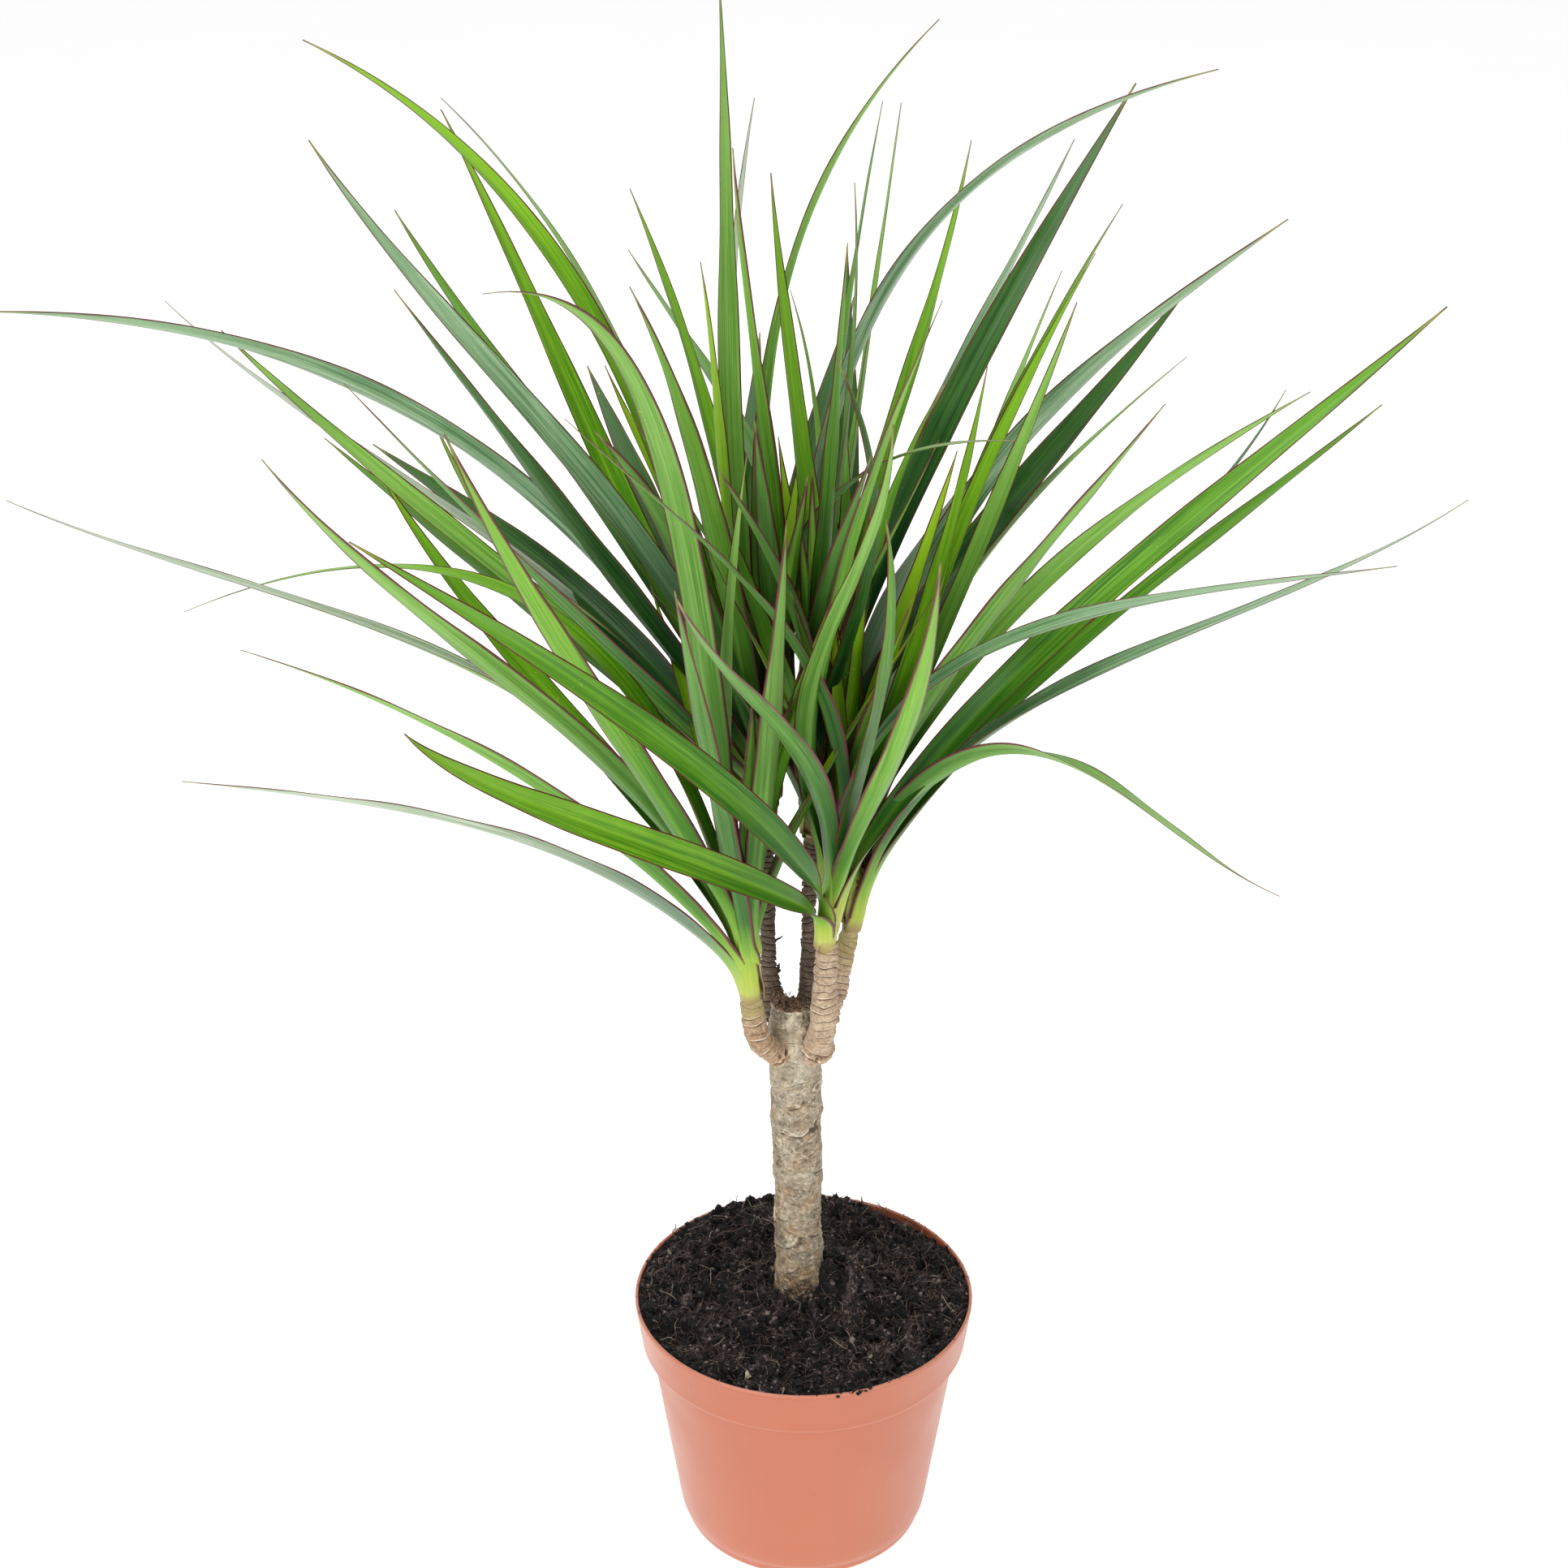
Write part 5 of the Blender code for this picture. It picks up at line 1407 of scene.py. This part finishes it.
def add_leaf(shell, root, leaf, width, axis, holds, zone_set, rng, curl, sheath=SHEATH):
    """One closed leaf along its path. Each section is an arc that wraps the stem at the foot and
    opens to a shallow gutter with a fold at the midrib; v runs over it from -1 to 1. The top and
    the underside meet in sharp margins, and the thickness falls from midrib to margin as
    (1 - v^2)^0.7. Holds are the foot's distances from the axis at its lower edge and at the
    root; the edge itself is wavy."""
    top_zone, under_zone = zone_set
    sheath = max(sheath, 1 * MM)
    middle, station = leaf_path(root, leaf, axis, holds[0], sheath)
    below = sheath / (leaf[2] * MM)
    forward = unit(np.gradient(middle, along_path(middle), axis=0))
    face = unit(np.cross(leaf_axes(leaf)[2], forward))
    beside = np.cross(forward, face)
    turn = (math.radians(leaf[5]) * ramp(station / TURN_BY)
            + 0.10 * np.sin(station * 5 + rng.uniform(0, 6)) * ramp(station * 2))[:, None]
    face = face * np.cos(turn) + beside * np.sin(turn)
    across = unit(np.cross(forward, face))
    clasp = ramp((0.055 - station) / 0.085)
    half = width / 2 * np.interp(station, FINE, WIDTH_SMOOTH)
    half = half * (1 - clasp) + (width / 2 * FOOT_WIDTH) * clasp
    hold = np.interp(station, (-below, 0), holds)
    arcs = np.where(station < 0.0, np.minimum(half / hold, 2.0), knots(station, ARC_KNOTS) * curl)
    fold = knots(station, FOLD_KNOTS)[:, None]
    thick = MM * knots(station, ((-below, FOOT_THICK), *THICK_KNOTS))[:, None]
    edge = (1 - MARGIN_WIDTH / np.maximum(half, MARGIN_WIDTH * 2.2))[:, None]
    inner = np.array(COLUMNS) * (edge / 0.86).clip(0, 1)
    v = np.concatenate([-np.ones_like(edge), -edge, inner, edge, np.ones_like(edge)], axis=1)
    arcs, half, station = arcs[:, None], half[:, None], station[:, None]
    radius = half / np.maximum(arcs, 1e-3)
    wide = radius * np.sin(arcs * v)
    high = radius * (1 - np.cos(arcs * v)) + fold * np.abs(v) * half
    wave = 0.35 * MM * np.sin(station * rng.uniform(18, 30) + rng.uniform(0, 6))
    high = high + wave * ramp((station - 0.1) * 5) * (1 - ramp((station - 0.7) * 3)) * v ** 3
    rib = 0.30 * MM * hump(v, 0, 0.10) * ramp(1.2 - station)
    depth = thick * (1 - v ** 2) ** 0.7
    top = (middle[:, None] + across[:, None] * wide[..., None]
           + face[:, None] * (high - 0.4 * rib)[..., None])
    low = top - face[:, None] * (depth + 1.2 * rib * (depth > 0))[..., None]

    def both_sides(over, under):
        return np.concatenate([over, under[:, -2:0:-1]], axis=1)

    wavy = np.sin(2.1 * v[:1] + rng.uniform(0, 6)) + 0.5 * np.sin(5.7 * v[:1] + rng.uniform(0, 6))
    wavy = both_sides(wavy, wavy)
    fading = ramp(1 - np.arange(len(station)) / 7)[:, None]
    loop = both_sides(top, low) + axis * (0.8 * MM * fading * wavy)[..., None]
    rows, columns = loop.shape[:2]
    around = np.arange(columns)
    zones = np.where(np.tile(around, rows - 1) < v.shape[1] - 1, top_zone, under_zone)
    off_rib = both_sides(v, v) * half / MM
    far = np.broadcast_to(along_path(middle)[:, None], loop.shape[:2])
    uv = np.stack([both_sides(wide, wide) / MAP_SIZE + rng.uniform(0, 5), far / MAP_SIZE], -1)
    shell.add(loop, [grid_faces(rows, columns), around[::-1][None],
                     (rows - 1) * columns + around[None]],
              [zones, under_zone, under_zone], uv=uv, along=np.repeat(station, columns),
              side=off_rib, rim=half / MM - np.abs(off_rib),
              above=np.repeat((station + below) * leaf[2], columns))


def make_head(name, number, leaves, looks):
    """One head: the short bare core that carries on its stem, its leaves, and the young ones,
    which are steeper, shorter and narrower towards the tip. A leaf's clasping foot runs down to
    the head's lowest foot at most."""
    rng = np.random.default_rng(HEAD_SEED + number)
    foot, top, low, high = head_line(name)
    axis = unit(top - foot)
    shell = Shell("along", "side", "rim", "above", "relief", "tinge", "warm", "soiled")
    stem_radius = STEMS[name][1][-1] * MM
    line, _ = smooth_line(np.array([foot - axis * 2 * MM, foot + (top - foot) * 0.5, top]),
                          CORE_STEP)
    size = np.interp(np.linspace(0, 1, len(line)), (0, 1),
                     (stem_radius * 0.96, CORE_TOP_RADIUS * 0.6))

    def relief(angle, far, spots):
        beat = (far + 0.8 * MM * noise_mm(spots, 5, 121)) / (3.1 * MM)
        part = beat % 1
        return (MM * 0.14 * layers_mm(spots, 3, 2, 123),
                MM * (0.24 * hump(part, 0.5, 0.08) - 0.2 * hump(part, 0.38, 0.06)))

    def marks(angle, far, spots):
        return 0.8 + 0.0 * far, 0.0 * far, 0.0 * far

    bark_tube(shell, line, size, CORE_COLUMNS, relief, marks, zone=len(TONES) + len(UNDERS))
    drop = FOOT_DROPS[name] * MM
    for k, (root, leaf, width, kind) in enumerate(leaves):
        place = float(np.clip((root - low) @ axis / max((high - low) @ axis, 1e-6), 0, 1))
        sheath = min(SHEATH, float((root - foot) @ axis) + drop)
        ended = float(np.clip(((root - foot) @ axis - sheath) / np.linalg.norm(top - foot), 0, 1))
        holds = (stem_radius * (0.97 - 0.5 * ended) + 0.1 * MM,
                 stem_radius * (1 - place) + CORE_TOP_RADIUS * place
                 + MM * (0.5 + rng.uniform(-0.1, 0.2) - 0.3 * place))
        tone = ROW_TONES[name][k] if kind == "row" else OTHER_TONES[kind]
        top_zone = TONES.index(tone.lower())
        under = top_zone if tone.isupper() else len(TONES) + UNDERS.index(UNDER_OF[tone])
        curl = SPEAR_CURL if kind == "spear" else 1.0
        add_leaf(shell, root, leaf, width, axis, holds, (top_zone, under), rng, curl, sheath)
    for k in range(YOUNG_PER_HEAD):
        place = 0.55 + 0.45 * k / YOUNG_PER_HEAD
        leaf = ((number * 50 + k * GOLDEN_ANGLE) % 360, 66 + 5 * k, 210 - 28 * k, 4, 1,
                20 * math.sin(3.1 * k))
        root = low + (high - low) * place
        hold = stem_radius * (1 - place) + CORE_TOP_RADIUS * place + 0.3 * MM
        add_leaf(shell, root, leaf, (12 - 1.2 * k) * MM, axis, (hold, hold),
                 (TONES.index("y"), len(TONES)), rng, YOUNG_CURL)
    return shell.build(f"foliage_{name}", looks)


# The whole plant, the studio and the camera

def place(item, slot, *nodes):
    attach(item, "root")
    if nodes:
        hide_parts(*nodes)


def make_plant():
    place(make_pot(), "pot", "pot")
    place(make_soil(), "soil", "soil")
    for item in make_soil_bits():
        place(item, "soil")
    trunk_look, stem_look, painted_shade_stem_look = (bark(*row) for row in BARKS)
    place(make_trunk(trunk_look), "trunk_bark", "trunk")
    place(make_stump_crumbs(), "trunk_bark")
    # The spurs share the back stems' darker bark with its painted shade
    place(make_spurs(painted_shade_stem_look), "stem_bark")
    for number, name in enumerate(STEMS):
        # The back stems get the darker copy of the stem bark, with painted shade
        look = painted_shade_stem_look if name.startswith("back") else stem_look
        place(make_stem(name, number, look), "stem_bark", f"stem_{name}")
    looks = [leaf_side(*LEAF_TOPS[tone], MARGIN_TOP, 0.38, 0.80) for tone in TONES]
    looks += [leaf_side(*LEAF_UNDERS[tone], MARGIN_UNDER, 0.60, 1.4) for tone in UNDERS]
    looks.append(stem_look)
    heads = grown_heads()
    for number, name in enumerate(STEMS):
        place(make_head(name, number, heads[name]["leaves"], looks), "leaves", f"leaves_{name}")


# Each soft panel's name, place, aim, size and power
PANELS = (("overhead", (-0.5, -0.3, 2.4), (0, 0, 0.35), 1.2, 23),
          ("front_left", (-1.3, -1.6, 1.3), (0, 0, 0.4), 1.1, 20),
          ("front_right", (1.3, -1.5, 1.1), (0, 0, 0.4), 1.1, 12),
          ("behind", (0.0, 1.9, 1.5), (0, 0, 0.5), 2.4, 18))
SURROUND_STRENGTH = 0.28
CAMERA_SPOT = (-0.0099, -1.2087, 1.0212)
CAMERA_DOWN = 26.5              # degrees
FOCAL_LENGTH, SENSOR = 67.2, 36     # mm
FLOOR_REACH = 4                 # m


def make_studio():
    """A pale glowing floor, four soft panels and a pale surround."""
    shell = Shell()
    corners = np.array([(-1.0, -1, 0), (1, -1, 0), (1, 1, 0), (-1, 1, 0)])
    shell.add(FLOOR_REACH * corners, [np.array([(0, 1, 2, 3)])])
    shell.build("studio_floor", [plain_floor()])
    for label, spot, aim, size, power in PANELS:
        light = bpy.data.lights.new(label, "AREA")
        light.energy = power
        light.size = size
        lamp = bpy.data.objects.new(label, light)
        lamp.location = spot
        way = np.array(aim) - np.array(spot)
        lamp.rotation_euler = (math.acos(-way[2] / np.linalg.norm(way)), 0,
                               math.atan2(way[1], way[0]) - math.pi / 2)
        bpy.context.scene.collection.objects.link(lamp)
    world = bpy.data.worlds.new("studio surround")
    bpy.context.scene.world = world
    world.use_nodes = True
    surround = world.node_tree.nodes["Background"]
    surround.inputs["Color"].default_value = (1.0, 1.0, 1.0, 1)
    surround.inputs["Strength"].default_value = SURROUND_STRENGTH
    bpy.context.scene.view_settings.view_transform = "Standard"


def make_camera():
    """The photograph's own view: a little above the crown, looking down."""
    lens = bpy.data.cameras.new("view")
    lens.lens = FOCAL_LENGTH
    lens.sensor_width = SENSOR
    lens.sensor_fit = "HORIZONTAL"
    camera = bpy.data.objects.new("view", lens)
    camera.location = CAMERA_SPOT
    camera.rotation_euler = (math.radians(90 - CAMERA_DOWN), 0, 0)
    bpy.context.scene.collection.objects.link(camera)
    bpy.context.scene.camera = camera


make_plant()
make_studio()
make_camera()
